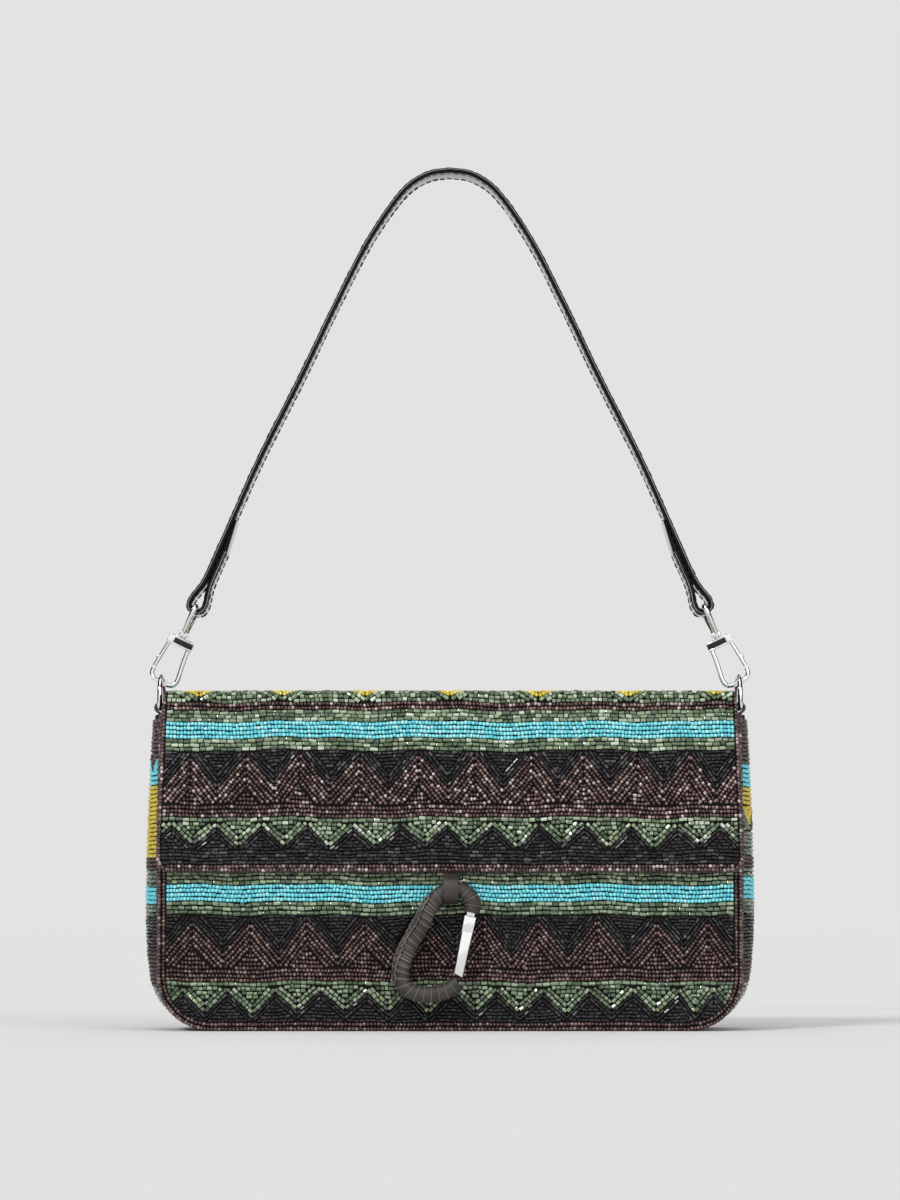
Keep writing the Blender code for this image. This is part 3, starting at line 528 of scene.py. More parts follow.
# %% One bead of each kind
def seed_bead():
    """A barrel one unit long and one unit in radius, with its hole along X."""
    form = bmesh.new()
    bmesh.ops.create_cone(form, cap_ends=True, segments=6, radius1=0.74, radius2=0.74, depth=1.0)
    sides = [e for e in form.edges if abs(e.verts[0].co.z - e.verts[1].co.z) > 0.5]
    cut = bmesh.ops.subdivide_edges(form, edges=sides, cuts=1)["geom_inner"]
    waist = [g for g in cut if isinstance(g, bmesh.types.BMVert)]
    bmesh.ops.scale(form, vec=(1.35, 1.35, 1.0), verts=waist)
    return form


def bugle_bead():
    """A hexagonal tube of the same size."""
    form = bmesh.new()
    bmesh.ops.create_cone(form, cap_ends=True, segments=6, radius1=1.0, radius2=1.0, depth=1.0)
    return form


def cut_bead():
    """A hexagonal tube with bevelled rims."""
    form = bugle_bead()
    rims = [e for e in form.edges if abs(e.verts[0].co.z - e.verts[1].co.z) < 0.5]
    round_off(form, rims, 0.12, 1)
    return form


def as_template(form):
    """The bead's points and faces as arrays, with its hole turned from Z to X."""
    lying = Matrix.Rotation(math.pi / 2, 3, "Y")
    bmesh.ops.rotate(form, verts=form.verts, cent=(0, 0, 0), matrix=lying)
    form.normal_update()
    form.verts.index_update()
    points = np.array([v.co for v in form.verts])
    corners = np.array([v.index for f in form.faces for v in f.verts])
    sizes = np.array([len(f.verts) for f in form.faces])
    form.free()
    return points, corners, sizes


SEED, CUT, BUGLE = (as_template(make()) for make in (seed_bead, cut_bead, bugle_bead))
print("faces on a seed, cut and bugle bead:", [len(t[2]) for t in (SEED, CUT, BUGLE)])

# %% [markdown]
# A colour always comes in one kind of bead. Its length is measured along the thread, its
# radius across it, its pitch is how far one row lies from the next, and its gap is the
# thread left bare between two beads.

# %% What each colour of bead is like
def kind_of(template, length, radius, pitch, gap, vary, short):
    """Sizes in mm, and two shares: how lengths vary, and how short beads on a slope are."""
    sizes = zip(("length", "radius", "pitch", "gap"), mm(length, radius, pitch, gap))
    return dict(sizes, template=template, vary=vary, short=short)


KIND = {
    "brown": kind_of(SEED, 1.34, 0.81, 1.74, 0.16, 0.09, 0.98),
    "cyan": kind_of(SEED, 1.32, 0.85, 1.74, 0.14, 0.08, 1.0),
    "yellow": kind_of(SEED, 1.32, 0.82, 1.72, 0.14, 0.08, 1.0),
    "green": kind_of(CUT, 2.50, 0.76, 1.70, 0.36, 0.19, 0.70),
    "black": kind_of(BUGLE, 2.40, 0.57, 1.38, 0.42, 0.18, 0.80),
}
PITCH = KIND["brown"]["pitch"]

# %% [markdown]
# ## Sewing rows on a flat sheet
#
# The beader works on flat cloth, and so do we. A `Beading` collects beads on a plane with
# `a` across and `b` up. Straight runs of beads make the stripes. The triangles are sewn as
# runs that follow their sloping sides, with level rows filling what is left, as the
# photograph shows. No bead starts where less than `LEAST_SHARE` of it would fit, and each
# is off by a `JITTER` in place, angle and size.

# %% Laying runs of beads
SHORTEST_RUN = 0.5 * MM
LOOK_STEP = 0.1 * MM
LEAST_SHARE = 0.38
JITTER = 0.05


def meeting_line(peaks, peak, valley):
    """The bent line where triangles meet, carried on by three peaks beyond each end."""
    before = peaks[0] - (peaks[1] - peaks[0]) * np.arange(3, 0, -1)
    after = peaks[-1] + (peaks[-1] - peaks[-2]) * np.arange(1, 4)
    peaks = np.concatenate([before, peaks, after])
    line = np.empty((2 * len(peaks) - 1, 2))
    line[0::2, 0] = peaks
    line[1::2, 0] = (peaks[:-1] + peaks[1:]) / 2 + 0.8 * MM * draw.uniform(-1, 1, len(peaks) - 1)
    line[0::2, 1] = peak + 0.6 * MM * draw.uniform(-1, 0.6, len(peaks))
    line[1::2, 1] = valley + 0.9 * MM * draw.uniform(-1, 1, len(peaks) - 1)
    return line


class Beading:
    """Beads on a flat sheet: for each colour, rows of a, b, angle, length and radius."""

    def __init__(self, keep=None):
        """Beads may lie where `keep` says, or anywhere."""
        self.keep = keep or (lambda a, b: np.full(np.shape(a), True))
        self.beads = {colour: [] for colour in KIND}

    def run(self, colour, start, end, short=False, free=None):
        """Threads beads from one point to another, over each stretch where they may lie."""
        start, end = np.array(start), np.array(end)
        reach = np.linalg.norm(end - start)
        if reach < SHORTEST_RUN:
            return
        ahead = (end - start) / reach
        steps = np.append(np.arange(0, reach, LOOK_STEP), reach)
        at = start + steps[:, None] * ahead
        kept = self.keep(at[:, 0], at[:, 1])
        if free is not None:
            kept = kept & free(at[:, 0], at[:, 1])
        turns = np.flatnonzero(np.diff(np.concatenate([[0], kept, [0]])))
        for first, last in zip(turns[::2], turns[1::2]):
            self.thread(colour, at[first], at[last - 1], ahead, short)

    def thread(self, colour, start, end, ahead, short):
        """Beads of slightly different lengths that fill a stretch from end to end."""
        kind = KIND[colour]
        reach = np.linalg.norm(end - start)
        whole = kind["length"] * (kind["short"] if short else 1.0) + kind["gap"]
        if reach < LEAST_SHARE * whole:
            return
        count = max(1, round(reach / whole))
        lengths = 1 + kind["vary"] * draw.standard_normal(count).clip(-1.6, 1.6)
        lengths *= reach / lengths.sum()
        at = start + (np.cumsum(lengths) - lengths / 2)[:, None] * ahead
        at += JITTER * kind["pitch"] * draw.standard_normal((count, 1)) * (-ahead[1], ahead[0])
        angle = math.atan2(ahead[1], ahead[0]) + JITTER * draw.standard_normal(count)
        radius = kind["radius"] * (1 + JITTER * draw.standard_normal(count))
        self.beads[colour].append(np.column_stack([at, angle, lengths - kind["gap"], radius]))

    def stripe(self, colour, top, bottom, half=HALF_WIDTH):
        """Level rows between two heights."""
        count = max(1, round((top - bottom) / KIND[colour]["pitch"]))
        for i in range(count):
            b = top - (i + 0.5) * (top - bottom) / count
            self.run(colour, (-half, b), (half, b))

    def bands(self, top, *stripes):
        """Stripes one below the other. Heights are in mm."""
        for colour, bottom in stripes:
            self.stripe(colour, top * MM, bottom * MM)
            top = bottom

    def slope_rows(self, colour, low, high, side, runs, border):
        """Rows beside one slope, above it (side 1) or below it (side -1), up to a border."""
        pitch = KIND[colour]["pitch"]
        ahead = (high - low) / np.linalg.norm(high - low)
        limit = border - side * 0.5 * pitch
        for k in range(runs):
            lift = np.array((0.0, side * (k + 0.5) * pitch / abs(ahead[0])))
            start, end = (low + lift, high + lift) if side > 0 else (high + lift, low + lift)
            if side * (end[1] - limit) > 0:
                end = start + (end - start) * (limit - start[1]) / (end[1] - start[1])
            if side * (end[1] - start[1]) > 0:
                self.run(colour, start + side * 0.15 * pitch * ahead, end, True)

    def zigzag(self, above, below, heights, peaks, upper_runs=2, lower_runs=2):
        """Hanging triangles of one colour between standing triangles of another.

        Rows follow each slope on both sides of it, then level rows fill the triangles. The
        heights are those of the top, the peaks, the valleys and the bottom.
        """
        top, peak, valley, bottom = heights
        line = meeting_line(peaks, peak, valley)
        for start, end in zip(line, line[1:]):
            low, high = sorted((start, end), key=lambda point: point[1])
            self.slope_rows(above, low, high, 1, upper_runs, top)
            self.slope_rows(below, low, high, -1, lower_runs, bottom)

        slope = np.abs(np.diff(line[:, 1]) / np.diff(line[:, 0])).mean()
        half = max(abs(line[0, 0]), abs(line[-1, 0]))
        for colour, runs, side, start, end in (
            (above, upper_runs, 1, top, valley), (below, lower_runs, -1, bottom, peak),
        ):
            pitch = KIND[colour]["pitch"]
            edge = (runs + 0.12) * pitch * math.hypot(1.0, slope)
            inside = lambda a, b: side * (b - np.interp(a, *line.T)) > edge
            for k in range(int(abs(start - end) / pitch)):
                b = start - side * (k + 0.5) * pitch
                self.run(colour, (-half, b), (half, b), True, inside)

    def edging(self, colour, path):
        """One row of beads that follows a bent path."""
        for start, end in zip(path, path[1:]):
            self.run(colour, start, end)

    def rows_of(self, colour):
        """All beads of a colour, one on each line."""
        found = [r for r in self.beads[colour] if len(r)]
        return np.vstack(found) if found else np.zeros((0, 5))


# %% [markdown]
# A sheet of beads is then bent onto the bag. Each surface has a mapping from flat
# coordinates to places in the bag, where `c` is the height over the plane of the bead
# centres. That plane lies a little under the CAD surface, so the beads end flush with it.

# %% From flat sheet to bag
SINK = 0.8 * MM
CROWN, CROWN_WAVE = 1.0 * MM, 0.25 * MM
FLAT_ROUND_MAGNET = 9 * MM


def crown(a, b):
    """How far the stuffed front swells out between its edges."""
    level = np.clip(1 - (a / (122 * MM)) ** 2, 0, 1)
    level = level * np.sin(np.pi * np.clip(b / FOLD_Z, 0, 1))
    return level * (CROWN + CROWN_WAVE * joined_sines(a, b, 5.0))


def on_front(a, b, c):
    """The front panel. It lies flat round the magnet, so that the two halves can meet."""
    from_magnet = np.hypot(a, b - MAGNET_Z) - MAGNET_RADIUS
    flat = np.clip(from_magnet / FLAT_ROUND_MAGNET, 0, 1)
    return a, PANEL_FRONT_Y + SINK - c - crown(a, b) * flat * flat * (3 - 2 * flat), b


def on_back(a, b, c):
    """The back panel, seen from behind."""
    return -a, REAR_Y - SINK + c + 0.6 * crown(a, b), b


FRONT_TURN = FOLD_RADIUS - SINK
BACK_TURN = BACK_FOLD_RADIUS - SINK
FLAP_RUNS = np.cumsum(
    [FOLD_Z, FRONT_TURN * math.pi / 2, BACK_FOLD_Y - FOLD_Y, BACK_TURN * math.pi / 2]
)


def on_flap(a, b, c):
    """Up the front, round the fold, over the top, round the back fold and down."""
    front_turn = np.clip(b - FLAP_RUNS[0], 0, FLAP_RUNS[1] - FLAP_RUNS[0]) / FRONT_TURN
    across_top = np.clip(b - FLAP_RUNS[1], 0, FLAP_RUNS[2] - FLAP_RUNS[1])
    back_turn = np.clip(b - FLAP_RUNS[2], 0, FLAP_RUNS[3] - FLAP_RUNS[2]) / BACK_TURN
    down = np.clip(b - FLAP_RUNS[3], 0, None)
    turn = front_turn + back_turn
    y = FOLD_Y - FRONT_TURN * np.cos(front_turn) + across_top + BACK_TURN * np.sin(back_turn)
    z = np.minimum(b, FOLD_Z) + FRONT_TURN * np.sin(front_turn)
    z = z - BACK_TURN * (1 - np.cos(back_turn)) - down
    return a, y - c * np.cos(turn) - crown(a, b), z + c * np.sin(turn)


def on_gusset(side):
    """Down one side, round the corner and along the base to the middle."""
    corner_x = HALF_WIDTH - CORNER

    def mapping(a, b, c):
        turn = np.clip(CORNER - b, 0, CORNER * math.pi / 2) / CORNER
        along_base = np.clip(CORNER * (1 - math.pi / 2) - b, 0, None)
        share = np.clip((np.maximum(b, CORNER) - CORNER * np.sin(turn)) / GUSSET_TOP, 0, 1)
        rim = np.clip((share - FULL_BULGE_SHARE) / (1 - FULL_BULGE_SHARE), 0, 1)
        foot = np.clip(share / FULL_BULGE_SHARE, 0, 1)
        bulge = GUSSET_BULGE * (1 - (1 - RIM_BULGE_SHARE) * rim ** 2) * np.sin(np.pi / 2 * foot)
        out = CORNER - SINK + c + bulge * np.cos(turn) * (1 - (a / GUSSET_HALF) ** 2)
        x = side * (corner_x - along_base + out * np.cos(turn))
        return x, GUSSET_MID_Y + side * a, np.maximum(b, CORNER) - out * np.sin(turn)

    return mapping


# %% [markdown]
# The outlines say where beads may be sewn. Each gives the distance from a point of the
# sheet to the nearest edge, so that a border row can follow the edge at a fixed distance.

# %% How far inside the edge a bead lies
def rounded_inset(side, up, corner):
    """How far inside a side, a foot and the round corner between them a point lies."""
    near = (side < corner) & (up < corner)
    round_part = corner - np.hypot(corner - side, corner - up)
    return np.where(near, round_part, np.minimum(side, up))


def panel_inset(top):
    """The inset of a panel with its upper edge at a height."""
    def inset(a, b):
        return np.minimum(rounded_inset(HALF_WIDTH - np.abs(a), b, CORNER), top - b)

    return inset


def flap_half(b):
    """Half the flap's width at a height."""
    return np.interp(b, (HEM, BAG_TOP), (FLAP_HEM_HALF, FLAP_TOP_HALF))


def flap_inset(a, b):
    return rounded_inset(flap_half(b) - np.abs(a), b - HEM, FLAP_CORNER)


def gusset_inset(a, b):
    return np.minimum(GUSSET_HALF - np.abs(a), GUSSET_TOP - b)


def no_inset(a, b):
    """For rows that lie right at an edge and don't wander."""
    return np.zeros(np.shape(a))


def path_inside(distance, half_at, heights, foot, corner, turns):
    """The line along the sides, corners and foot of a sheet, at a distance inside."""
    reach = corner - distance
    centre = half_at(foot) - corner
    right = [(half_at(b) - distance, b) for b in heights]
    right += [(centre + reach * math.cos(t), foot + corner - reach * math.sin(t)) for t in turns]
    return right + [(-a, b) for a, b in reversed(right)]


def panel_path(distance, top):
    heights = np.arange(top, CORNER, -12 * MM)
    turns = np.linspace(0, math.pi / 2, 7)
    return path_inside(distance, lambda b: HALF_WIDTH, heights, 0.0, CORNER, turns)


def flap_path(distance, top):
    corner_top = HEM + FLAP_CORNER
    heights = np.append(np.arange(top, corner_top, -12 * MM), corner_top)
    turns = np.linspace(0.3, math.pi / 2, 4)
    return path_inside(distance, flap_half, heights, HEM, FLAP_CORNER, turns)


# %% [markdown]
# `sew` copies the template of each colour to every place on a sheet. A real row is never
# quite straight and no two beads sit alike, so the rows wander slowly, and each bead gets a
# roll about its thread, a slight tilt and its own tone. Beads below the hem lie in the
# shade of the flap, and their tone is painted a little darker for it, on every sheet; a
# `shade` below one paints a whole piece darker in the same way.

# %% Copying the beads onto the bag
LOWER_SHADE = 0.86
WANDER, WANDER_REACH = 0.75 * MM, 8 * MM
TILT, RISE = 0.045, 0.07 * MM


def bead_mesh(name, rows, template, mapping, inset, seed, shade=1.0):
    """One mesh of all beads in some rows. Rows wander less towards an edge, and `shade` is a
    painted shade that darkens every bead's tone.
    """
    points, corners, sizes = template
    a, b, angle = rows[:, :3].T
    length, radius = rows[:, 3, None], rows[:, 4, None]
    count = len(rows)
    fade = np.clip(inset(a, b) / WANDER_REACH, 0, 1) * WANDER
    ahead = (joined_sines(a + MM, b, seed) - joined_sines(a - MM, b, seed)) / (2 * MM)
    b = b + fade * joined_sines(a, b, seed)
    angle = angle + fade * ahead + TILT * draw.standard_normal(count)
    height = RISE * draw.standard_normal(count)
    roll = draw.uniform(0, math.pi / 3, count)
    cos, sin = np.cos(roll)[:, None], np.sin(roll)[:, None]
    along = points[:, 0] * length
    across = (points[:, 1] * cos - points[:, 2] * sin) * radius
    out = (points[:, 1] * sin + points[:, 2] * cos) * radius
    cos, sin = np.cos(angle)[:, None], np.sin(angle)[:, None]
    flat = [a[:, None] + cos * along - sin * across, b[:, None] + sin * along + cos * across]
    flat.append(height[:, None] + out)
    places = np.stack(mapping(*(f.ravel() for f in flat)), axis=1)

    mesh = bpy.data.meshes.new(name)
    mesh.vertices.add(len(places))
    mesh.vertices.foreach_set("co", places.ravel())
    every_corner = (np.arange(count)[:, None] * len(points) + corners).ravel()
    mesh.loops.add(len(every_corner))
    mesh.loops.foreach_set("vertex_index", every_corner)
    every_size = np.tile(sizes, count)
    mesh.polygons.add(len(every_size))
    mesh.polygons.foreach_set("loop_start", np.cumsum(every_size) - every_size)
    mesh.polygons.foreach_set("use_smooth", (every_size == 4) & (template is SEED))
    mesh.update(calc_edges=True)
    tone_and_shade = mesh.attributes.new("tone_and_shade", "FLOAT", "POINT")
    # Painted shade: the tone drops by LOWER_SHADE below the hem and by `shade` for a whole piece.
    tones_and_shade = shade * draw.uniform(0, 1, count) * np.where(rows[:, 1] < HEM, LOWER_SHADE, 1.0)
    tone_and_shade.data.foreach_set("value", np.repeat(tones_and_shade, len(points)))
    return mesh


MOST_TRIANGLES = 180_000


def sew(name, sheet, mapping, inset, seed, body=None, shade=1.0):
    """Makes one piece for each colour of a sheet, or more where it would grow too large."""
    made = []
    for colour, kind in KIND.items():
        rows = sheet.rows_of(colour)
        if not len(rows):
            continue
        triangles = len(rows) * int((kind["template"][2] - 2).sum())
        shares = np.array_split(rows, math.ceil(triangles / MOST_TRIANGLES))
        for i, share in enumerate(shares):
            title = f"{name}_{colour}_beads" + (f"_{i + 1}" if len(shares) > 1 else "")
            mesh = bead_mesh(title, share, kind["template"], mapping, inset, seed, shade)
            finish = BEAD_FINISH[colour]
            made.append(placed(title, mesh, finish, body, smooth=None))
    print(name, "beads:", sum(len(sheet.rows_of(colour)) for colour in KIND))
    return made


# %% [markdown]
# ## The pattern
#
# Stripes and triangles are set out in heights above the table, read from the photograph.
# The pattern is a common one: bands, a zigzag of large black and brown triangles, and one of
# small green and black triangles. The flap and the front below it carry the same order.
# Triangle tops are listed one by one, because hands set them out by eye.

# %% Where the triangles stand, in mm from the middle
FLAP_BROWN_TOPS = np.array([-107, -84, -62, -37, -13, 10, 34, 55, 77, 99]) * MM
FLAP_BLACK_TOPS = np.array(
    [-96, -77.5, -58.5, -40, -20.5, -1, 17.5, 36.5, 55.5, 74.5, 93.5, 111]
) * MM
LOWER_BROWN_TOPS = np.array([-106, -82, -59, -35, -10, 13.5, 36, 60.5, 85, 106]) * MM
LOWER_BLACK_TOPS = np.array(
    [-109.5, -91.5, -72, -53, -34, -17.5, 1, 19, 38, 57, 75, 94, 108]
) * MM
YELLOW_TIPS = np.array([-104, -69.5, -34, -1.5, 37, 74, 109]) * MM
EVEN_BROWN_TOPS = np.arange(-108, 109, 24) * MM
EVEN_BLACK_TOPS = np.arange(-104.5, 105, 19) * MM


# %% The two halves of the pattern
def lower_pattern(sheet, brown_tops, black_tops):
    """From the border at the foot up to the hem of the flap."""
    sheet.bands(65.2, ("green", 59.9), ("cyan", 52.8), ("green", 47.4))
    sheet.zigzag("black", "brown", mm(47.4, 45.7, 31.2, 25.4), brown_tops, 3, 4)
    sheet.bands(25.4, ("brown", 20.3), ("green", 18.6))
    sheet.zigzag("green", "black", mm(18.6, 16.2, 7.0, 3.6), black_tops)


def upper_pattern(sheet, brown_tops, black_tops):
    """From the hem of the flap up to its fold."""
    sheet.bands(135.0, ("brown", 131.6), ("green", 127.0), ("cyan", 120.0), ("green", 114.9))
    sheet.zigzag("black", "brown", mm(114.9, 113.9, 99.2, 92.4), brown_tops, 3, 5)
    sheet.bands(92.4, ("brown", 87.4), ("green", 85.8))
    sheet.zigzag("green", "black", mm(85.8, 84.2, 75.3, 74.0), black_tops)
    sheet.bands(74.0, ("black", 68.2), ("brown", 64.8))


# %% [markdown]
# The front and back panels are whole sheets with a border of two brown rows that follow
# the sides, the round corners and the foot. The pattern stops where the border starts.

# %% Bead the front and back panels
def bordered(inset_of, top, pattern):
    """A sheet whose pattern lies inside two brown border rows."""
    sheet = Beading(lambda a, b: inset_of(a, b) > 2.15 * PITCH)
    pattern(sheet)
    sheet.keep = lambda a, b: inset_of(a, b) > 0.2 * PITCH
    for distance in (0.55 * PITCH, 1.6 * PITCH):
        sheet.edging("brown", panel_path(distance, top))
    return sheet


def front_pattern(sheet):
    lower_pattern(sheet, LOWER_BROWN_TOPS, LOWER_BLACK_TOPS)
    upper_pattern(sheet, EVEN_BROWN_TOPS, EVEN_BLACK_TOPS)


def back_pattern(sheet):
    lower_pattern(sheet, -LOWER_BROWN_TOPS[::-1], -LOWER_BLACK_TOPS[::-1])
    upper_pattern(sheet, -FLAP_BROWN_TOPS[::-1], -FLAP_BLACK_TOPS[::-1])


BACK_PANEL_TOP = 132.5 * MM
OPEN_TOP = 1.6 * PITCH
whole_front = panel_inset(FRONT_PANEL_TOP + OPEN_TOP)


def front_inset(a, b):
    """The front leaves a round place bare for the magnet under the flap."""
    return np.minimum(whole_front(a, b), np.hypot(a, b - MAGNET_Z) - MAGNET_RADIUS)


front_sheet = bordered(front_inset, FRONT_PANEL_TOP, front_pattern)
sew("front", front_sheet, on_front, front_inset, 1.3, "bag")

back_inset = panel_inset(BACK_PANEL_TOP + OPEN_TOP)
back_sheet = bordered(back_inset, BACK_PANEL_TOP, back_pattern)
sew("back", back_sheet, on_back, back_inset, 4.1, "bag")

# %% [markdown]
# The flap is one sheet, set out in one go. It is then cut in three pieces, because it bends
# on two lines: its front swings up round the fold, and its upper part lifts behind the
# hooks. The front piece rides on the flap's front; the pieces at the fold and on top ride on
# no body and stay where they are.

# %% Bead the flap
FOLD_START = FLAP_RUNS[0] - 2.8 * MM
FOLD_END = FLAP_RUNS[1] + 2.8 * MM
FLAP_END = FLAP_RUNS[3] + 2.6 * MM


def top_pattern(sheet):
    """Yellow tips that hang over the fold, then bands to the back seam."""
    between_tips = (YELLOW_TIPS[:-1] + YELLOW_TIPS[1:]) / 2
    sheet.zigzag("yellow", "green", mm(150.2, 149.2, 136.6, 134.8), between_tips)
    low = 150.2 * MM
    for colour, high in (
        ("yellow", 156.8), ("cyan", 163.7), ("green", 168.9), ("brown", 173.9), ("black", 179.4),
        ("brown", 191.2),
    ):
        sheet.stripe(colour, high * MM, low, FLAP_HEM_HALF)
        low = high * MM


def between(sheet, low, high):
    """The beads of a sheet that lie between two heights."""
    part = Beading(sheet.keep)
    for colour in KIND:
        rows = sheet.rows_of(colour)
        part.beads[colour].append(rows[(rows[:, 1] > low) & (rows[:, 1] <= high)])
    return part


def bend_at_fold(piece):
    """Bakes the piece's place into its mesh; the piece is not bent and rides on no body."""
    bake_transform(piece)


def bend_at_lift(piece):
    """Bakes the piece's place into its mesh; the piece is not bent and rides on no body."""
    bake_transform(piece)


flap_sheet = Beading(lambda a, b: (flap_inset(a, b) > 1.1 * PITCH) & (b < FLAP_END))
upper_pattern(flap_sheet, FLAP_BROWN_TOPS, FLAP_BLACK_TOPS)
top_pattern(flap_sheet)
flap_sheet.keep = lambda a, b: (flap_inset(a, b) > 0.2 * PITCH) & (b < FLAP_END)
flap_sheet.edging("brown", flap_path(0.55 * PITCH, FLAP_END))
sew("flap", between(flap_sheet, 0.0, FOLD_START), on_flap, flap_inset, 2.2, "flap_front")
for piece in sew("fold", between(flap_sheet, FOLD_START, FOLD_END), on_flap, flap_inset, 2.2):
    bend_at_fold(piece)
for piece in sew("top", between(flap_sheet, FOLD_END, FLAP_END), on_flap, flap_inset, 2.2):
    bend_at_lift(piece)

# %% [markdown]
# The cut edges of the panels and of the flap are covered by one more row of beads, which
# lies beside the border and deeper. Without it their black cloth would show from the side.

# %% Bead the edges
# Painted shade for beads that face the sides, on the gusset and along the cut edges: their tone is
# darkened by this share, because the sides look darker than the front under the lamps.
PAINTED_SIDE_SHADE = 0.55


def edge_rows(name, mapping, path, depth, seed, body):
    """One row of brown beads along an outline, below the plane of the others, darkened with the
    painted side shade.
    """
    sheet = Beading()
    sheet.edging("brown", path)
    sew(name, sheet, lambda a, b, c: mapping(a, b, c - depth), no_inset, seed, body, PAINTED_SIDE_SHADE)


front_path = panel_path(0.50 * PITCH, FRONT_PANEL_TOP - 0.5 * MM)
edge_rows("front_edge", on_front, front_path, 1.5 * MM, 1.3, "bag")
back_path = panel_path(0.50 * PITCH, BACK_PANEL_TOP - 0.5 * MM)
edge_rows("back_edge", on_back, back_path, 1.5 * MM, 4.1, "bag")
hem_path = flap_path(0.20 * PITCH, FOLD_START)
edge_rows("flap_edge", on_flap, hem_path, 1.3 * MM, 2.2, "flap_front")

# %% [markdown]
# The gusset is the long strip that makes the sides and the base. Its bands run across it
# and don't meet those of the panels, as in the photograph. It is beaded down to the middle
# of the base from both sides.

# %% Bead the gusset
GUSSET_BANDS = {
    "left": (
        ("brown", 130.4, 115.0), ("cyan", 107.0, 101.0), ("yellow", 101.0, 71.0),
        ("brown", 71.0, 66.0), ("green", 66.0, 59.0), ("cyan", 59.0, 52.0), ("green", 52.0, 47.0),
        ("black", 47.0, 33.0), ("brown", 33.0, 18.0), ("green", 18.0, 4.0),
    ),
    "right": (
        ("brown", 130.4, 110.0), ("cyan", 110.0, 100.5), ("yellow", 100.5, 93.0),
        ("green", 82.0, 72.0), ("brown", 72.0, 67.0), ("green", 67.0, 63.0), ("cyan", 63.0, 54.0),
        ("green", 54.0, 48.0), ("black", 48.0, 30.0), ("brown", 30.0, 20.0), ("green", 20.0, 6.0),
    ),
}
GUSSET_ZIGZAGS = {
    "left": ("brown", "cyan", mm(115.0, 113.8, 105.0, 106.0)),
    "right": ("yellow", "green", mm(93.0, 92.0, 83.0, 82.0)),
}
GUSSET_TOPS = np.array([-18, -6, 6, 18]) * MM
BASE_MIDDLE = CORNER * (1 - math.pi / 2) - (HALF_WIDTH - CORNER)

for side, word in SIDES:
    sheet = Beading(lambda a, b: (gusset_inset(a, b) > 1.15 * PITCH) & (b > BASE_MIDDLE))
    for colour, high, low in GUSSET_BANDS[word]:
        sheet.stripe(colour, high * MM, low * MM, GUSSET_HALF)
    sheet.zigzag(*GUSSET_ZIGZAGS[word], GUSSET_TOPS)
    sheet.stripe("black", GUSSET_BANDS[word][-1][2] * MM, BASE_MIDDLE, GUSSET_HALF)
    sheet.keep = lambda a, b: (b > BASE_MIDDLE) & (b < GUSSET_TOP)
    steps = np.arange(GUSSET_TOP, BASE_MIDDLE - 4 * MM, -4 * MM)
    for edge in (-1, 1):
        sheet.edging("brown", [(edge * (GUSSET_HALF - 0.6 * PITCH), b) for b in steps])
    # The gusset faces the sides, so its beads get the painted side shade.
    sew(f"gusset_{word}", sheet, on_gusset(side), gusset_inset, 3.0 + side, "bag", PAINTED_SIDE_SHADE)


# %% [markdown]
# ## Cloth under and behind the beads
#
# The beads are sewn to black cloth, which shows only as dark lines between the rows. Each
# cloth is a thin plate in the same flat coordinates, cut into slices and bent with the
# mapping of its beads. It stands for the soft CAD solid that it takes the place of.

# %% A cloth plate bent onto a surface
CLOTH_FACE = -0.15 * MM


def cloth_form(low, high, mapping, corner=0.0, steps=(9.0, 4.0), widen=None):
    """A plate in flat coordinates with its lower corners rounded, bent onto the bag.

    It is cut every so many mm across and up, and `widen` makes its width change with height.
    """
    form = box_form(low, high)
    if corner:
        feet = [e for e in edges_along(form, 2) if e.verts[0].co.y < (low[1] + high[1]) / 2]
        round_off(form, feet, corner, 8)
    slice_up(form, (1, 0, 0), low[0], high[0], steps[0] * MM)
    slice_up(form, (0, 1, 0), low[1], high[1], steps[1] * MM)
    if widen is not None:
        for vertex in form.verts:
            vertex.co.x *= widen(vertex.co.y)
    bend_to(form, mapping)
    return form


half = HALF_WIDTH - 0.5 * MM
for name, node, mapping, top in (
    ("front_cloth", "front_panel", on_front, FRONT_PANEL_TOP),
    ("back_cloth", "back_panel", on_back, BACK_PANEL_TOP + 0.1 * MM),
):
    form = cloth_form((-half, 0.5 * MM, -1.75 * MM), (half, top, CLOTH_FACE), mapping, CORNER)
    finished(name, form, BACKING, "bag", (node,), 50.0)

gusset_form = bmesh.new()
half = GUSSET_HALF - 0.2 * MM
low, high = (-half, BASE_MIDDLE, -1.5 * MM), (half, GUSSET_TOP, CLOTH_FACE)
for side in (-1, 1):
    strip = cloth_form(low, high, on_gusset(side), steps=(4.1, 3.0))
    seam = [f for f in strip.faces if abs(f.calc_center_median().x) < 0.1 * MM]
    bmesh.ops.delete(strip, geom=seam, context="FACES")
    add_form(gusset_form, strip)
bmesh.ops.remove_doubles(gusset_form, verts=gusset_form.verts, dist=0.05 * MM)
finished("gusset_cloth", gusset_form, BACKING, "bag", ("gusset",), 50.0)


# %% The flap's cloth and its lining
def flap_layer(name, start, end, depth, finish, step, body=None, nodes=()):
    """A layer of the flap between two heights of the sheet and two depths."""
    half = FLAP_HEM_HALF - 0.5 * MM
    form = cloth_form(
        (-half, start, -depth[1]), (half, end, -depth[0]), on_flap,
        FLAP_CORNER if start < FOLD_START else 0.0, (10.0, step),
        lambda b: float(flap_half(b)) / FLAP_HEM_HALF,
    )
    return finished(name, form, finish, body, nodes, 60.0)


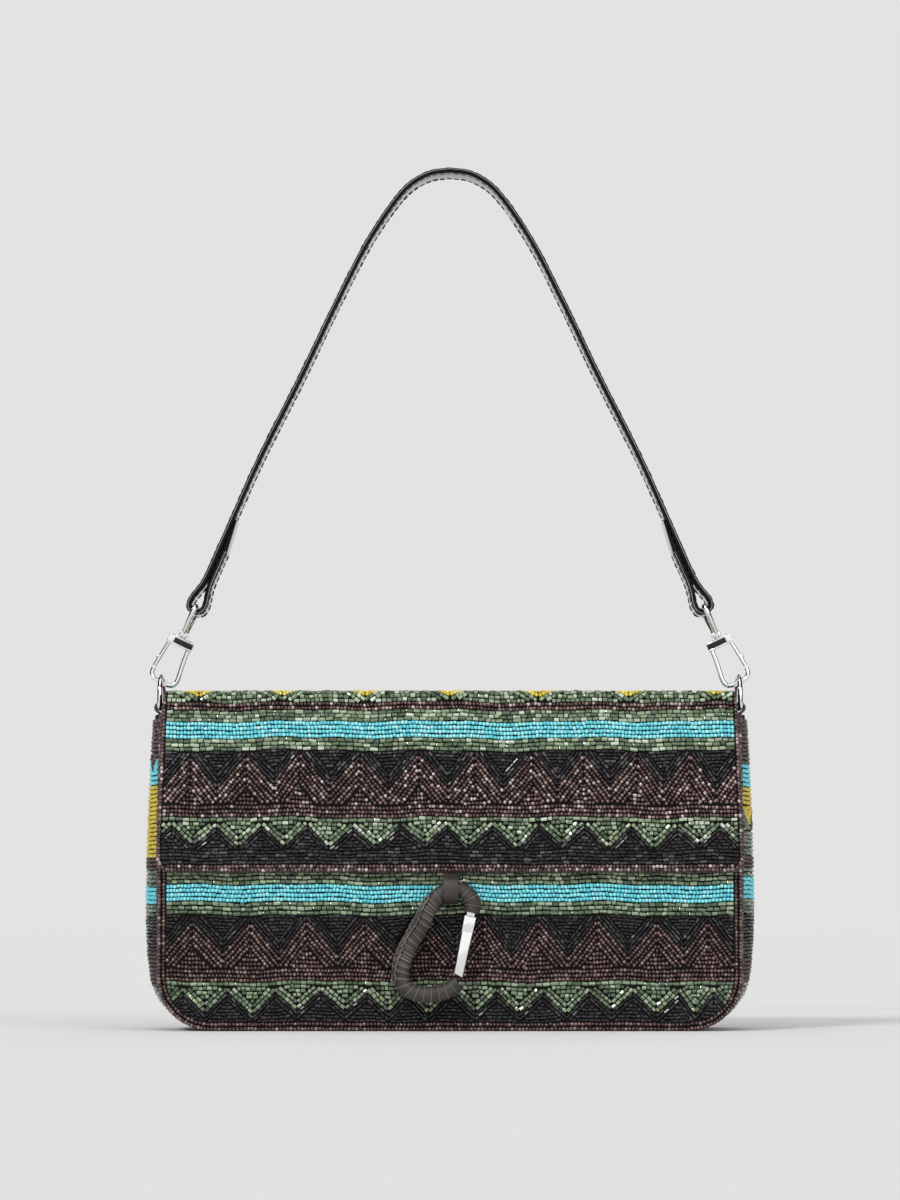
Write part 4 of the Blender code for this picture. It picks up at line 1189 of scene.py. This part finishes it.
OUTER, INNER = mm(0.15, 1.3), mm(1.25, 2.15)
low = HEM + 0.4 * MM
flap_layer("flap_cloth", low, FOLD_START, OUTER, BACKING, 2.4, "flap_front", ("flap_front",))
flap_layer("flap_lining", low + 0.2 * MM, FOLD_START, INNER, LINING, 2.4, "flap_front")
bend_at_fold(flap_layer("fold_cloth", FOLD_START, FOLD_END, OUTER, BACKING, 0.6))
bend_at_fold(flap_layer("fold_lining", FOLD_START, FOLD_END, INNER, LINING, 0.6))
top_nodes = ("top_panel", "flap_upper")
bend_at_lift(flap_layer("top_cloth", FOLD_END, FLAP_END, OUTER, BACKING, 1.2, None, top_nodes))
bend_at_lift(flap_layer("top_lining", FOLD_END, FLAP_END, INNER, LINING, 1.2))

# %% [markdown]
# The lining is a bag within the bag. It is a box with round lower corners and no lid, cut
# into a grid, pushed in and out by slow waves as loose cloth is, and then given a wall.
# Its pocket is a flat pouch on the rear wall with a turned hem.

# %% Lining and pocket
def open_box(low, high, corner, step, open_sides):
    """A thin box without the sides whose directions are named."""
    form = box_form(low, high)
    if corner:
        feet = [e for e in edges_along(form, 1) if e.verts[0].co.z < (low[2] + high[2]) / 2]
        round_off(form, feet, corner, 6)
    form.normal_update()
    gone = [f for f in form.faces if any(f.normal.dot(Vector(d)) > 0.99 for d in open_sides)]
    bmesh.ops.delete(form, geom=gone, context="FACES")
    for i, direction in enumerate(((1, 0, 0), (0, 1, 0), (0, 0, 1))):
        slice_up(form, direction, low[i], high[i], step)
    return form


def loosen(form, depth, top):
    """Pushes cloth inward by slow waves that die out towards its rim."""
    form.normal_update()
    for vertex in form.verts:
        wave = 0.5 + 0.5 * float(joined_sines(vertex.co.x + vertex.co.y, vertex.co.z, 7.0))
        fade = min(1.0, max(0.0, (top - vertex.co.z) / (12 * MM)))
        vertex.co -= vertex.normal * depth * wave * fade


half = HALF_WIDTH - LINING_INSET
form = open_box(
    (-half, LINING_FRONT_Y, LINING_BASE), (half, LINING_REAR_Y, LINING_TOP), CORNER - LINING_INSET,
    7 * MM, ((0, 0, 1),),
)
loosen(form, 0.9 * MM, LINING_TOP)
bmesh.ops.solidify(form, geom=form.faces[:], thickness=0.7 * MM)
finished("lining_bag", form, LINING, "bag", ("lining",), 50.0)

# %% [markdown]
# A tape is folded over the front rim. It hides the stiffener board and holds the beaded
# cloth and the lining together.

# %% Rim tape
half = HALF_WIDTH - 1.2 * MM
form = box_form(
    (-half, PANEL_FRONT_Y + 1.9 * MM, FRONT_PANEL_TOP - 1.4 * MM),
    (half, LINING_FRONT_Y + 0.55 * MM, FRONT_PANEL_TOP + 1.35 * MM),
)
round_off(form, edges_along(form, 0), 0.7 * MM, 3)
slice_up(form, (1, 0, 0), -half, half, 8 * MM)
finished("front_rim_tape", form, PIPING, "bag", (), 60.0)

# %% Pocket
pocket_low, pocket_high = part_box("inner_pocket")
form = open_box(pocket_low, pocket_high, 0.0, 6 * MM, ((0, 0, 1), (0, 1, 0)))
POCKET_SAG = 0.9 * MM
pocket_height = pocket_high.z - pocket_low.z
for vertex in form.verts:
    if vertex.co.y < pocket_low.y + 0.5 * MM:
        droop = 1 - (vertex.co.x / pocket_high.x) ** 2
        vertex.co.y -= POCKET_SAG * droop * max(0.0, (vertex.co.z - pocket_low.z) / pocket_height)
bmesh.ops.solidify(form, geom=form.faces[:], thickness=0.7 * MM)
finished("pocket_pouch", form, LINING, "bag", ("inner_pocket",), 50.0)

hem_line = [
    (x, pocket_low.y - POCKET_SAG * (1 - (x / pocket_high.x) ** 2) + 0.35 * MM, pocket_high.z)
    for x in np.linspace(pocket_low.x + MM, pocket_high.x - MM, 25)
]
hem = swept(hem_line, 0.75 * MM, 8)
finished("pocket_hem", hem, PIPING, "bag", (), 60.0)


# %% [markdown]
# ## The strap
#
# The strap is two plies of leather glued and stitched, with dark edge paint that forms a
# small dome. Each end goes through the stirrup of a hook and is turned back on the inside.
# We lay it out as a long flat bar in flat coordinates, cut it finely, and bend it along the
# route of the CAD strap. Its stitches are bent with the same mapping.

# %% Bending a strip along a route
GAP = 0.3 * MM


def along(route):
    """A mapping for strips: a across the strip, b along the route, c out of its face."""
    line = np.array(route)
    run = run_of(line)
    ahead = np.gradient(line, run, axis=0)
    ahead /= np.linalg.norm(ahead, axis=1)[:, None]

    def mapping(a, b, c):
        tx, tz = (np.interp(b, run, ahead[:, i]) for i in (0, 1))
        size = np.hypot(tx, tz)
        x, z = (np.interp(b, run, line[:, i]) for i in (0, 1))
        return x - c * tz / size, -a, z + c * tx / size

    return mapping, run[-1]


def strip_form(length, width, thickness, step, edge_round):
    """A flat bar with domed long edges, cut across into slices."""
    form = box_form((-width / 2, 0.0, -thickness / 2), (width / 2, length, thickness / 2))
    cuts = int(length / step)
    bmesh.ops.subdivide_edges(form, edges=edges_along(form, 1), cuts=cuts, use_grid_fill=True)
    corners = [e for e in edges_along(form, 1) if abs(abs(e.verts[0].co.x) - width / 2) < 1e-6]
    round_off(form, corners, edge_round, 4)
    return form


def eased(route, step, reach):
    """Evens out the points of a route and rounds its corners off over a short reach."""
    line = np.array(route)
    run = run_of(line)
    even = np.linspace(0, run[-1], int(run[-1] / step))
    line = np.stack([np.interp(even, run, line[:, i]) for i in (0, 1)], axis=1)
    for _ in range(int(2 * (reach / step) ** 2)):
        line[1:-1] = line[1:-1] / 2 + (line[:-2] + line[2:]) / 4
    return [tuple(p) for p in line]


# %% The strap's route, as in the CAD model
STRAP_WIDTH, STRAP_THICKNESS = 15.0 * MM, 2.3 * MM
STRAP_FOLD = 26.0 * MM
STRAP_TOP = 361.5 * MM
ARCH = (
    (1.0, 0.0), (0.9, 0.135), (0.78, 0.295), (0.616, 0.49), (0.472, 0.67), (0.338, 0.826),
    (0.2, 0.945), (0.095, 0.99), (0.0, 1.0),
)
up = Vector((math.sin(HOOK_LEAN), math.cos(HOOK_LEAN)))
inward = Vector((math.cos(HOOK_LEAN), -math.sin(HOOK_LEAN)))
base = Vector((-RING_X, HOOK_Z))
loop_middle = base + up * 35.55 * MM
neck = base + up * 48.75 * MM - inward * (STRAP_THICKNESS + GAP) / 2
bulge = [(12.2, 1.35), (9.6, 1.5), (7.0, 1.9), (4.4, 2.6), (1.8, 3.25)]
round_part = [(3.4 * math.cos(t), 3.4 * math.sin(t)) for t in np.radians(np.linspace(100, 260, 14))]
loop = [
    tuple(loop_middle + (up * rise + inward * aside) * MM)
    for rise, aside in bulge + round_part + [(rise, -aside) for rise, aside in reversed(bulge)]
]
half_arch = smooth_route(
    [(neck.x * across, neck.y + (STRAP_TOP - neck.y) * rise) for across, rise in ARCH], 8
)
line = np.array(half_arch)
ahead = np.gradient(line, axis=0)
ahead /= np.linalg.norm(ahead, axis=1)[:, None]
ply = line + np.stack([ahead[:, 1], -ahead[:, 0]], axis=1) * (STRAP_THICKNESS + GAP)
run = run_of(line)
fold = [tuple(np.interp(STRAP_FOLD, run, ply[:, i]) for i in (0, 1))]
fold += [tuple(p) for p, at in zip(ply[::-1], run[::-1]) if at < STRAP_FOLD]
half_route = eased(smooth_route(fold + loop + half_arch[1:], 3), 0.5 * MM, 1.0 * MM)
strap_route = half_route + [(-x, z) for x, z in half_route[-2::-1]]
on_strap, strap_length = along(strap_route)
print("strap length in mm:", round(strap_length * 1000))

# %% The strap and its stitches
form = strip_form(strap_length, STRAP_WIDTH, STRAP_THICKNESS, 1.3 * MM, 1.0 * MM)
SKIVE = 14 * MM
for vert in form.verts:
    from_end = min(vert.co.y, strap_length - vert.co.y)
    if from_end < SKIVE:
        share = 0.25 + 0.75 * from_end / SKIVE
        vert.co.z = (vert.co.z + STRAP_THICKNESS / 2) * share - STRAP_THICKNESS / 2
for face in form.faces:
    face.material_index = int(abs(face.calc_center_median().x) > STRAP_WIDTH / 2 - 0.8 * MM)
bend_to(form, on_strap)
strap_finish = [STRAP_LEATHER, EDGE_PAINT]
finished("strap_leather", form, strap_finish, "strap", ("strap",), 40.0)

# A pale core ply, a little wider than the strap, shows as a line along the middle of each edge:
# partly a real ply, partly a painted highlight for the glint on the domed edge paint.
core_sizes = mm(0.30, 1.3, 0.12)
form = strip_form(strap_length - 2 * SKIVE, STRAP_WIDTH + 0.14 * MM, *core_sizes)
bmesh.ops.translate(form, vec=(0.0, SKIVE, 0.42 * MM), verts=form.verts)
bend_to(form, on_strap)
finished("strap_core_and_highlight", form, STRAP_CORE_AND_HIGHLIGHT, "strap", (), 40.0)

KIND["stitch"] = kind_of(SEED, 2.3, 0.32, 0.6, 0.9, 0.04, 1.0)
for name, face in (("strap_outer_stitches", 1), ("strap_inner_stitches", -1)):
    sheet = Beading()
    for side in (-1, 1):
        seam = side * (STRAP_WIDTH / 2 - 1.9 * MM)
        sheet.run("stitch", (seam, SKIVE), (seam, strap_length - SKIVE))
    rows = sheet.rows_of("stitch")
    on_face = lambda a, b, c: on_strap(a, b, c * 0.8 + face * STRAP_THICKNESS / 2)
    mesh = bead_mesh(name, rows, SEED, on_face, no_inset, 1.0)
    placed(name, mesh, THREAD, "strap", smooth=None)

# %% [markdown]
# A short leather tab holds each D-ring. It is folded round the straight bar of the ring and
# both its ends go down inside the rim of the gusset.

# %% Ring tabs
TAB_WIDTH = 15.0 * MM
for side, word in SIDES:
    outer, inner = RING_X - 0.62 * MM, RING_X - 1.83 * MM
    foot = BAR_Z - 21.4 * MM
    route = [(inner, z) for z in np.linspace(foot, BAR_Z - 3.2 * MM, 12)]
    route += arc((RING_X, BAR_Z), 1.95 * MM, 215, -70, 22)
    route += [(outer, z) for z in np.linspace(BAR_Z - 3.4 * MM, foot, 12)]
    on_tab, length = along(smooth_route([(side * x, z) for x, z in route], 2))
    form = strip_form(length, TAB_WIDTH, 1.1 * MM, 0.8 * MM, 0.35 * MM)
    bend_to(form, on_tab)
    finished(f"tab_{word}", form, STRAP_LEATHER, "bag", (f"ring_tab_{word}",), 40.0)

# %% [markdown]
# ## The hanging carabiner
#
# It hangs in a plain leather band from the hem of the flap. Its rod is wound with a leather
# tape: every turn laps the last, so the tube is stepped, and along its outer arm a row of
# loops is laced. We sweep the tube with a stepped radius and lean its rings a little.

# %% The band it hangs in
LOOP_BAND = 6.2 * MM
BAND_ROUTE = (
    (-23.4, 65.4), (-24.5, 63.6), (-30.2, 61.9), (-31.9, 59.4), (-32.0, 56.5), (-31.3, 54.1),
    (-28.0, 52.45), (-24.8, 54.1), (-24.1, 56.5), (-24.05, 59.4), (-23.0, 62.0), (-22.4, 63.9),
)
side_mapping, length = along(smooth_route([mm(y, z) for y, z in BAND_ROUTE], 8))


def on_charm_band(a, b, c):
    y, across, z = side_mapping(a, b, c)
    return CHARM_X + across, y, z


form = strip_form(length, LOOP_BAND, 1.1 * MM, 0.8 * MM, 0.3 * MM)
bend_to(form, on_charm_band)
band = finished("charm_band", form, WRAP_LEATHER, None, ("charm_loop",), 40.0)
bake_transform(band)

# %% The wound tube
ROD_SHARES = (
    (0.973, 0.783), (1.0, 0.87), (0.931, 0.957), (0.818, 1.0), (0.677, 0.995), (0.536, 0.955),
    (0.409, 0.85), (0.278, 0.66), (0.093, 0.437), (0.0, 0.229), (0.027, 0.083), (0.196, 0.005),
    (0.464, 0.0), (0.677, 0.045), (0.79, 0.115),
)
rod_route = np.array([
    (-19.679 * MM + across * 29.1 * MM, CHARM_Y, 15.323 * MM + rise * 42.3 * MM)
    for across, rise in smooth_route(ROD_SHARES, 8)
])
rod_run = run_of(rod_route)
rod_length = rod_run[-1]
TAPE_STEP = 3.0 * MM
BACKWARD, FORWARD = Vector((0, 1, 0)), Vector((0, -1, 0))


def rod_at(s):
    """The point at a distance along the rod."""
    return Vector([float(np.interp(s, rod_run, rod_route[:, i])) for i in range(3)])


def rod_ahead(s):
    """The way the rod runs at a distance along it."""
    return (rod_at(s + 0.3 * MM) - rod_at(s - 0.3 * MM)).normalized()


turns = int(rod_length / TAPE_STEP)
stations, radii = [], []
for i in range(turns):
    for share, radius in ((0.0, 3.22), (0.12, 3.42), (0.55, 3.34), (0.93, 3.20)):
        stations.append((i + share) * rod_length / turns)
        radii.append(radius * MM)
stations.append(rod_length)
radii.append(3.0 * MM)
form = swept([rod_at(s) for s in stations], radii, 20)
TAPE_LEAN = 0.22


def lean_rings(form):
    """Moves each point along the rod by how far left or right of it the point lies."""
    for vertex in form.verts:
        gaps = np.linalg.norm(rod_route - np.array(vertex.co), axis=1)
        near = int(np.argmin(gaps))
        before, after = rod_route[max(near - 1, 0)], rod_route[min(near + 1, len(rod_route) - 1)]
        ahead = Vector(after - before).normalized()
        side = ahead.cross(BACKWARD)
        offset = (vertex.co - Vector(rod_route[near])).dot(side)
        share = rod_run[near] / rod_length
        fade = min(1.0, 4.0 * share, 4.0 * (1 - share))
        vertex.co += ahead * offset * TAPE_LEAN * fade


lean_rings(form)
finished("wound_tube", form, WRAP_LEATHER, "carabiner", ("carabiner_wrap",), 30.0)

# %% The pale cut edges of the tape, and the laced loops
form = bmesh.new()
for i in range(1, turns):
    s = i * rod_length / turns
    side = rod_ahead(s).cross(BACKWARD)
    ring = [
        rod_at(s) + (side * math.cos(t) + BACKWARD * math.sin(t)) * 3.38 * MM for t in full_turn(20)
    ]
    swept(ring, 0.13 * MM, 5, True, form)
lean_rings(form)
finished("tape_edges", form, TAPE_EDGE, "carabiner", (), 60.0)

form = bmesh.new()
LACE_STEP = 2.7 * MM
rod_middle = Vector((-4 * MM, CHARM_Y, 36 * MM))
for i, s in enumerate(np.arange(0.30 * rod_length, 0.70 * rod_length, LACE_STEP)):
    at, ahead = rod_at(s), rod_ahead(s)
    outward = ahead.cross(BACKWARD)
    if outward.dot(at - rod_middle) < 0:
        outward = -outward
    off = outward * 0.82 + FORWARD * 0.57
    lie = (outward * 0.57 - FORWARD * 0.82).normalized()
    seat = at + off * 3.55 * MM
    width = (1.35 + 0.3 * math.sin(5 * i)) * MM
    loop = [
        seat + ahead * 2.1 * MM * math.cos(t) + lie * width * math.sin(t)
        + off * (0.25 + 0.35 * math.cos(t)) * MM
        for t in full_turn(16)
    ]
    swept(loop, 0.42 * MM, 6, True, form)
    tail = [seat + lie * 0.9 * MM - ahead * 0.3 * MM]
    for t in np.linspace(0.45, 2.4, 9):
        around = outward * math.cos(t) + FORWARD * math.sin(t)
        tail.append(at + around * 3.5 * MM + ahead * (t - 0.6) * 0.5 * MM)
    swept(tail, 0.30 * MM, 6, False, form)
# The loops get the paler lace finish, partly a painted highlight.
finished("lacing", form, LACE_LEATHER_AND_HIGHLIGHT, "carabiner", (), 60.0)


# %% [markdown]
# ## Metal
#
# Rings and hooks are chromed wire. The CAD nodes have the right shapes, but with few sides,
# and chrome shows every facet. The round wires are swept again with more sides, and the
# collars get real rounded edges. The rivets, the magnets and the carabiner's bare rod keep
# their CAD nodes, with a new finish.

# %% D-rings
for side, word in SIDES:
    corner = 2.0 * MM
    route = arc((-RING_HALF + corner, BAR_Z + corner), corner, 180, 270, 6)
    route += arc((RING_HALF - corner, BAR_Z + corner), corner, 270, 360, 6)
    route += arc((0.0, RING_APEX_Z - RING_HALF), RING_HALF, 0, 180, 32)
    form = swept([(side * RING_X, y, z) for y, z in route], 1.1 * MM, 14, True)
    ring = f"d_ring_{word}"
    finished(f"ring_wire_{word}", form, CHROME, ring, (ring,), 60.0)


# %% Snap hooks
HOOK_WIRE = (
    (1.08, 0.75), (0.8, 0.8), (0.5, 0.89), (0.28, 0.98), (0.14, 0.96), (0.04, 0.78),
    (0.0, 0.4), (0.0, 0.0), (0.0, -0.4), (0.04, -0.78), (0.14, -0.96), (0.26, -1.0),
)


def hook_frame_matrix(side):
    """Z up along the hook, X inward across it."""
    turn = Matrix.Rotation(-side * HOOK_LEAN, 4, "Y")
    mirrored = Matrix.Rotation(math.pi, 4, "Z") if side > 0 else Matrix.Identity(4)
    return Matrix.Translation((side * RING_X, 0.0, HOOK_Z)) @ turn @ mirrored


def add_turned(form, outline):
    """Adds an outline of radius and height, in mm, turned once about Z."""
    points = [form.verts.new((r * MM, 0.0, z * MM)) for r, z in outline]
    edges = [form.edges.new(pair) for pair in zip(points, points[1:])]
    bmesh.ops.spin(
        form, geom=points + edges, cent=(0, 0, 0), axis=(0, 0, 1), angle=2 * math.pi, steps=16,
        use_merge=True,
    )
    bmesh.ops.remove_doubles(form, verts=form.verts, dist=0.002 * MM)


def add_box(form, low, high, width):
    """Adds a box with rounded edges. All sizes are in mm."""
    part = box_form(mm(*low), mm(*high))
    round_off(part, part.edges[:], width * MM)
    add_form(form, part)


def add_button(form, centre, radius, flatten, segments):
    """Adds a flattened ball."""
    place = Matrix.Translation(centre) @ Matrix.Diagonal((*flatten, 1.0))
    bmesh.ops.create_uvsphere(
        form, u_segments=segments, v_segments=8, radius=radius, matrix=place
    )


def fitted(name, form, place, finish, body, *nodes):
    """A metal piece made about the origin and then put in its place."""
    bmesh.ops.transform(form, matrix=place, verts=form.verts)
    finished(name, form, finish, body, nodes, 50.0)


PIN_TOP = [(1.8 * math.cos(t), 23.5 + 1.1 * math.sin(t)) for t in np.linspace(0, math.pi / 2, 6)]
EYE_SHOULDER = 34.7 - 2.2 - 2.3 - 0.3
for side, word in SIDES:
    place = hook_frame_matrix(side)
    route = smooth_route(HOOK_WIRE, 5)
    form = swept([mm(across * 5.7, 0.0, rise * 16.5) for rise, across in route], 1.0 * MM, 14)
    add_box(form, (-3.1, -1.7, 16.7), (5.4, 1.7, 20.3), 0.5)
    for low in (16.5, 19.5):
        add_box(form, (-3.1, -2.2, low), (5.6, 2.2, low + 1.0), 0.48)
    for y in (-1.65, 1.65):
        add_box(form, (-5.6, y - 0.5, 16.5), (-2.6, y + 0.5, 20.5), 0.35)
    add_turned(form, [(0.0, 20.4), (1.0, 20.4), (1.0, 23.45)] + PIN_TOP)
    fitted(f"hook_wire_{word}", form, place, CHROME, f"hook_{word}", f"hook_frame_{word}")

    form = bmesh.new()
    add_box(form, (-3.0, -1.9, 17.3), (5.5, 1.9, 19.7), 0.3)
    fitted(f"hook_band_{word}", form, place, BLACK_STEEL, f"hook_{word}")

    half_eye = [mm(3.4, 22.0), mm(4.5, 24.3), mm(8.9, EYE_SHOULDER)]
    half_eye += arc(mm(7.1, 32.9), 1.8 * MM, 0, 90, 6)
    eye = half_eye + [(-y, z) for y, z in reversed(half_eye)]
    form = swept([(0.0, y, z) for y, z in eye], 1.1 * MM, 12)
    add_box(form, (-1.8, -4.5, 20.8), (1.8, 4.5, 23.2), 0.6)
    fitted(f"stirrup_{word}", form, place, CHROME, "strap", f"strap_eye_{word}")


# %% [markdown]
# The gate of the carabiner is a small bar of polished steel. Its root is slotted and holds
# the tongue of the rod between two cheeks, with a rivet through them. Rounded edges catch a
# dark line on both sides, which is what makes polished metal look solid.

# %% Gate of the carabiner
form = bmesh.new()
add_box(form, (-2.5, -2.1, -20.6), (2.5, 2.1, -1.9), 0.7)
add_box(form, (-2.5, -2.1, -2.7), (2.5, -1.1, 4.2), 0.4)
add_box(form, (-2.5, 1.1, -2.7), (2.5, 2.1, 4.2), 0.4)
for vert in form.verts:
    share = (vert.co.z + 20.6 * MM) / (24.8 * MM)
    vert.co.x *= (1.9 + 0.6 * share) / 2.5
    vert.co.z -= 0.30 * vert.co.x * max(0.0, 1 - share / 0.15)
ring = [mm(1.2 * math.cos(t), -2.1, 1.2 * math.sin(t)) for t in full_turn(24)]
swept(ring, 0.20 * MM, 8, True, form)
add_button(form, mm(0.0, -2.1, 0.0), 0.75 * MM, (1.0, 0.4, 1.0), 16)
hinge = Matrix.Translation((7.479 * MM, CHARM_Y, 42.862 * MM))
place = hinge @ Matrix.Rotation(math.radians(11.7), 4, "Y")
fitted("gate_bar", form, place, GATE_STEEL, "carabiner_gate", "carabiner_gate")


# %% [markdown]
# The gate of each hook is a rounded bar. An eye at its root turns on the rivet, and a low
# tab on the outer side takes the thumb.

# %% Gates of the hooks
GATE_EYE = (
    (0.72, -0.9), (1.05, -0.9), (1.25, -0.65), (1.25, 0.65), (1.05, 0.9), (0.72, 0.9), (0.72, -0.9),
)
root, tip = Vector((-4.275, 0.0, 18.5)) * MM, Vector((-5.7, 0.0, 5.775)) * MM
for side, word in SIDES:
    form = bmesh.new()
    add_turned(form, GATE_EYE)
    on_rivet = Matrix.Translation(root) @ Matrix.Rotation(math.pi / 2, 4, "X")
    bmesh.ops.transform(form, matrix=on_rivet, verts=form.verts)
    bar = [tuple(root.lerp(tip, share)) for share in np.linspace(0.08, 1.05, 12)]
    swept(bar, 0.85 * MM, 12, False, form)
    tab = root.lerp(tip, 0.72) - Vector((0.75 * MM, 0.0, 0.0))
    add_button(form, tab, 1.0 * MM, (0.75, 0.8, 1.3), 12)
    gate = f"hook_gate_{word}"
    fitted(f"hook_gate_bar_{word}", form, hook_frame_matrix(side), CHROME, gate, gate)


# %% Finishes on the CAD nodes that stay
for finish, *nodes in (
    (CHROME, "gate_rivet_left", "gate_rivet_right"),
    (STEEL, "carabiner_core", "carabiner_rivet", "magnet_socket", "magnet_stud"),
    (BOARD, "front_stiffener", "back_stiffener", "base_board"),
):
    for node in nodes:
        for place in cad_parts[node].material_slots:
            place.material = finish


# %% [markdown]
# ## Camera, floor and light
#
# The camera stands where the photographer's did: in front, low, and turned up a little.
# Large soft lamps from both sides and above give the glass its small highlights.

# %% Camera
camera_data = bpy.data.cameras.new("camera")
camera_data.sensor_fit = "VERTICAL"
camera_data.sensor_height = 36.0
camera_data.lens = 104.2
camera = bpy.data.objects.new("camera", camera_data)
camera.location = (0.0, -1.455, 0.050)
camera.rotation_euler = (math.radians(90 + 5.08), 0.0, 0.0)
bpy.context.scene.collection.objects.link(camera)
bpy.context.scene.camera = camera


# %% Floor
PALE = (0.765, 0.765, 0.760)
floor_finish, _, floor_shader = shader_of("floor_paper", (0.725, 0.725, 0.721), 0.9)
floor_shader.inputs["Specular IOR Level"].default_value = 0.0
form = bmesh.new()
bmesh.ops.create_grid(form, x_segments=1, y_segments=1, size=6.0)
floor = finished("floor", form, floor_finish, smooth=None)
floor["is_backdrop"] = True

# %% Surroundings
# Paper behind the bag, a white screen in front of it and dark cloth all round between them,
# which draws a dark line along the edges of the metal. Matt surfaces get an even light.
world = bpy.data.worlds.new("studio")
world.use_nodes = True
bpy.context.scene.world = world
tree = world.node_tree
room = tree.nodes["Background"]
room.inputs["Color"].default_value = (0.765, 0.765, 0.765, 1.0)
room.inputs["Strength"].default_value = 0.65
direction = tree.nodes.new("ShaderNodeTexCoord")
parts = tree.nodes.new("ShaderNodeSeparateXYZ")
tree.links.new(direction.outputs["Generated"], parts.inputs["Vector"])
from_front = combined(tree, "MULTIPLY_ADD", parts.outputs["Y"], 0.5, 0.5)
WHITE, DARK = (1.0, 1.0, 1.0), (0.015, 0.015, 0.015)
screens = ramp(tree, from_front, [(0.15, WHITE), (0.19, DARK), (0.86, DARK), (0.90, PALE)])
mirrored = tree.nodes.new("ShaderNodeBackground")
tree.links.new(screens, mirrored.inputs["Color"])
backdrop = tree.nodes.new("ShaderNodeBackground")
backdrop.inputs["Color"].default_value = (*PALE, 1.0)
path = tree.nodes.new("ShaderNodeLightPath")
glossy, through = path.outputs["Is Glossy Ray"], path.outputs["Is Transmission Ray"]
reflected = combined(tree, "MAXIMUM", glossy, through)
light = room.outputs["Background"]
for seen, shown in ((reflected, mirrored), (path.outputs["Is Camera Ray"], backdrop)):
    mix = tree.nodes.new("ShaderNodeMixShader")
    tree.links.new(seen, mix.inputs["Fac"])
    tree.links.new(light, mix.inputs[1])
    tree.links.new(shown.outputs["Background"], mix.inputs[2])
    light = mix.outputs["Shader"]
tree.links.new(light, tree.nodes["World Output"].inputs["Surface"])


# %% Lamps
def soft_lamp(name, toward, spread, power):
    """A far lamp, so that it lights the floor evenly. Its spread softens the shadow."""
    data = bpy.data.lights.new(name, "SUN")
    data.angle, data.energy = math.radians(spread), power
    made = bpy.data.objects.new(name, data)
    made.rotation_euler = Vector(toward).to_track_quat("-Z", "Y").to_euler()
    bpy.context.scene.collection.objects.link(made)


soft_lamp("key_lamp", (0.55, 0.75, -0.75), 14.0, 1.25)
soft_lamp("fill_lamp", (-0.75, 0.80, -0.45), 40.0, 0.60)
soft_lamp("top_lamp", (0.05, 0.25, -1.0), 50.0, 0.75)
bpy.context.scene.view_settings.view_transform = "Standard"

# %% [markdown]
# ## Finish
#
# The size of the dressed bag is printed, as one box in mm.

# %% Print the size of the dressed bag
low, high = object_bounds()
print("dressed box in mm:", [round(v * 1000, 1) for v in (*low, *high)])
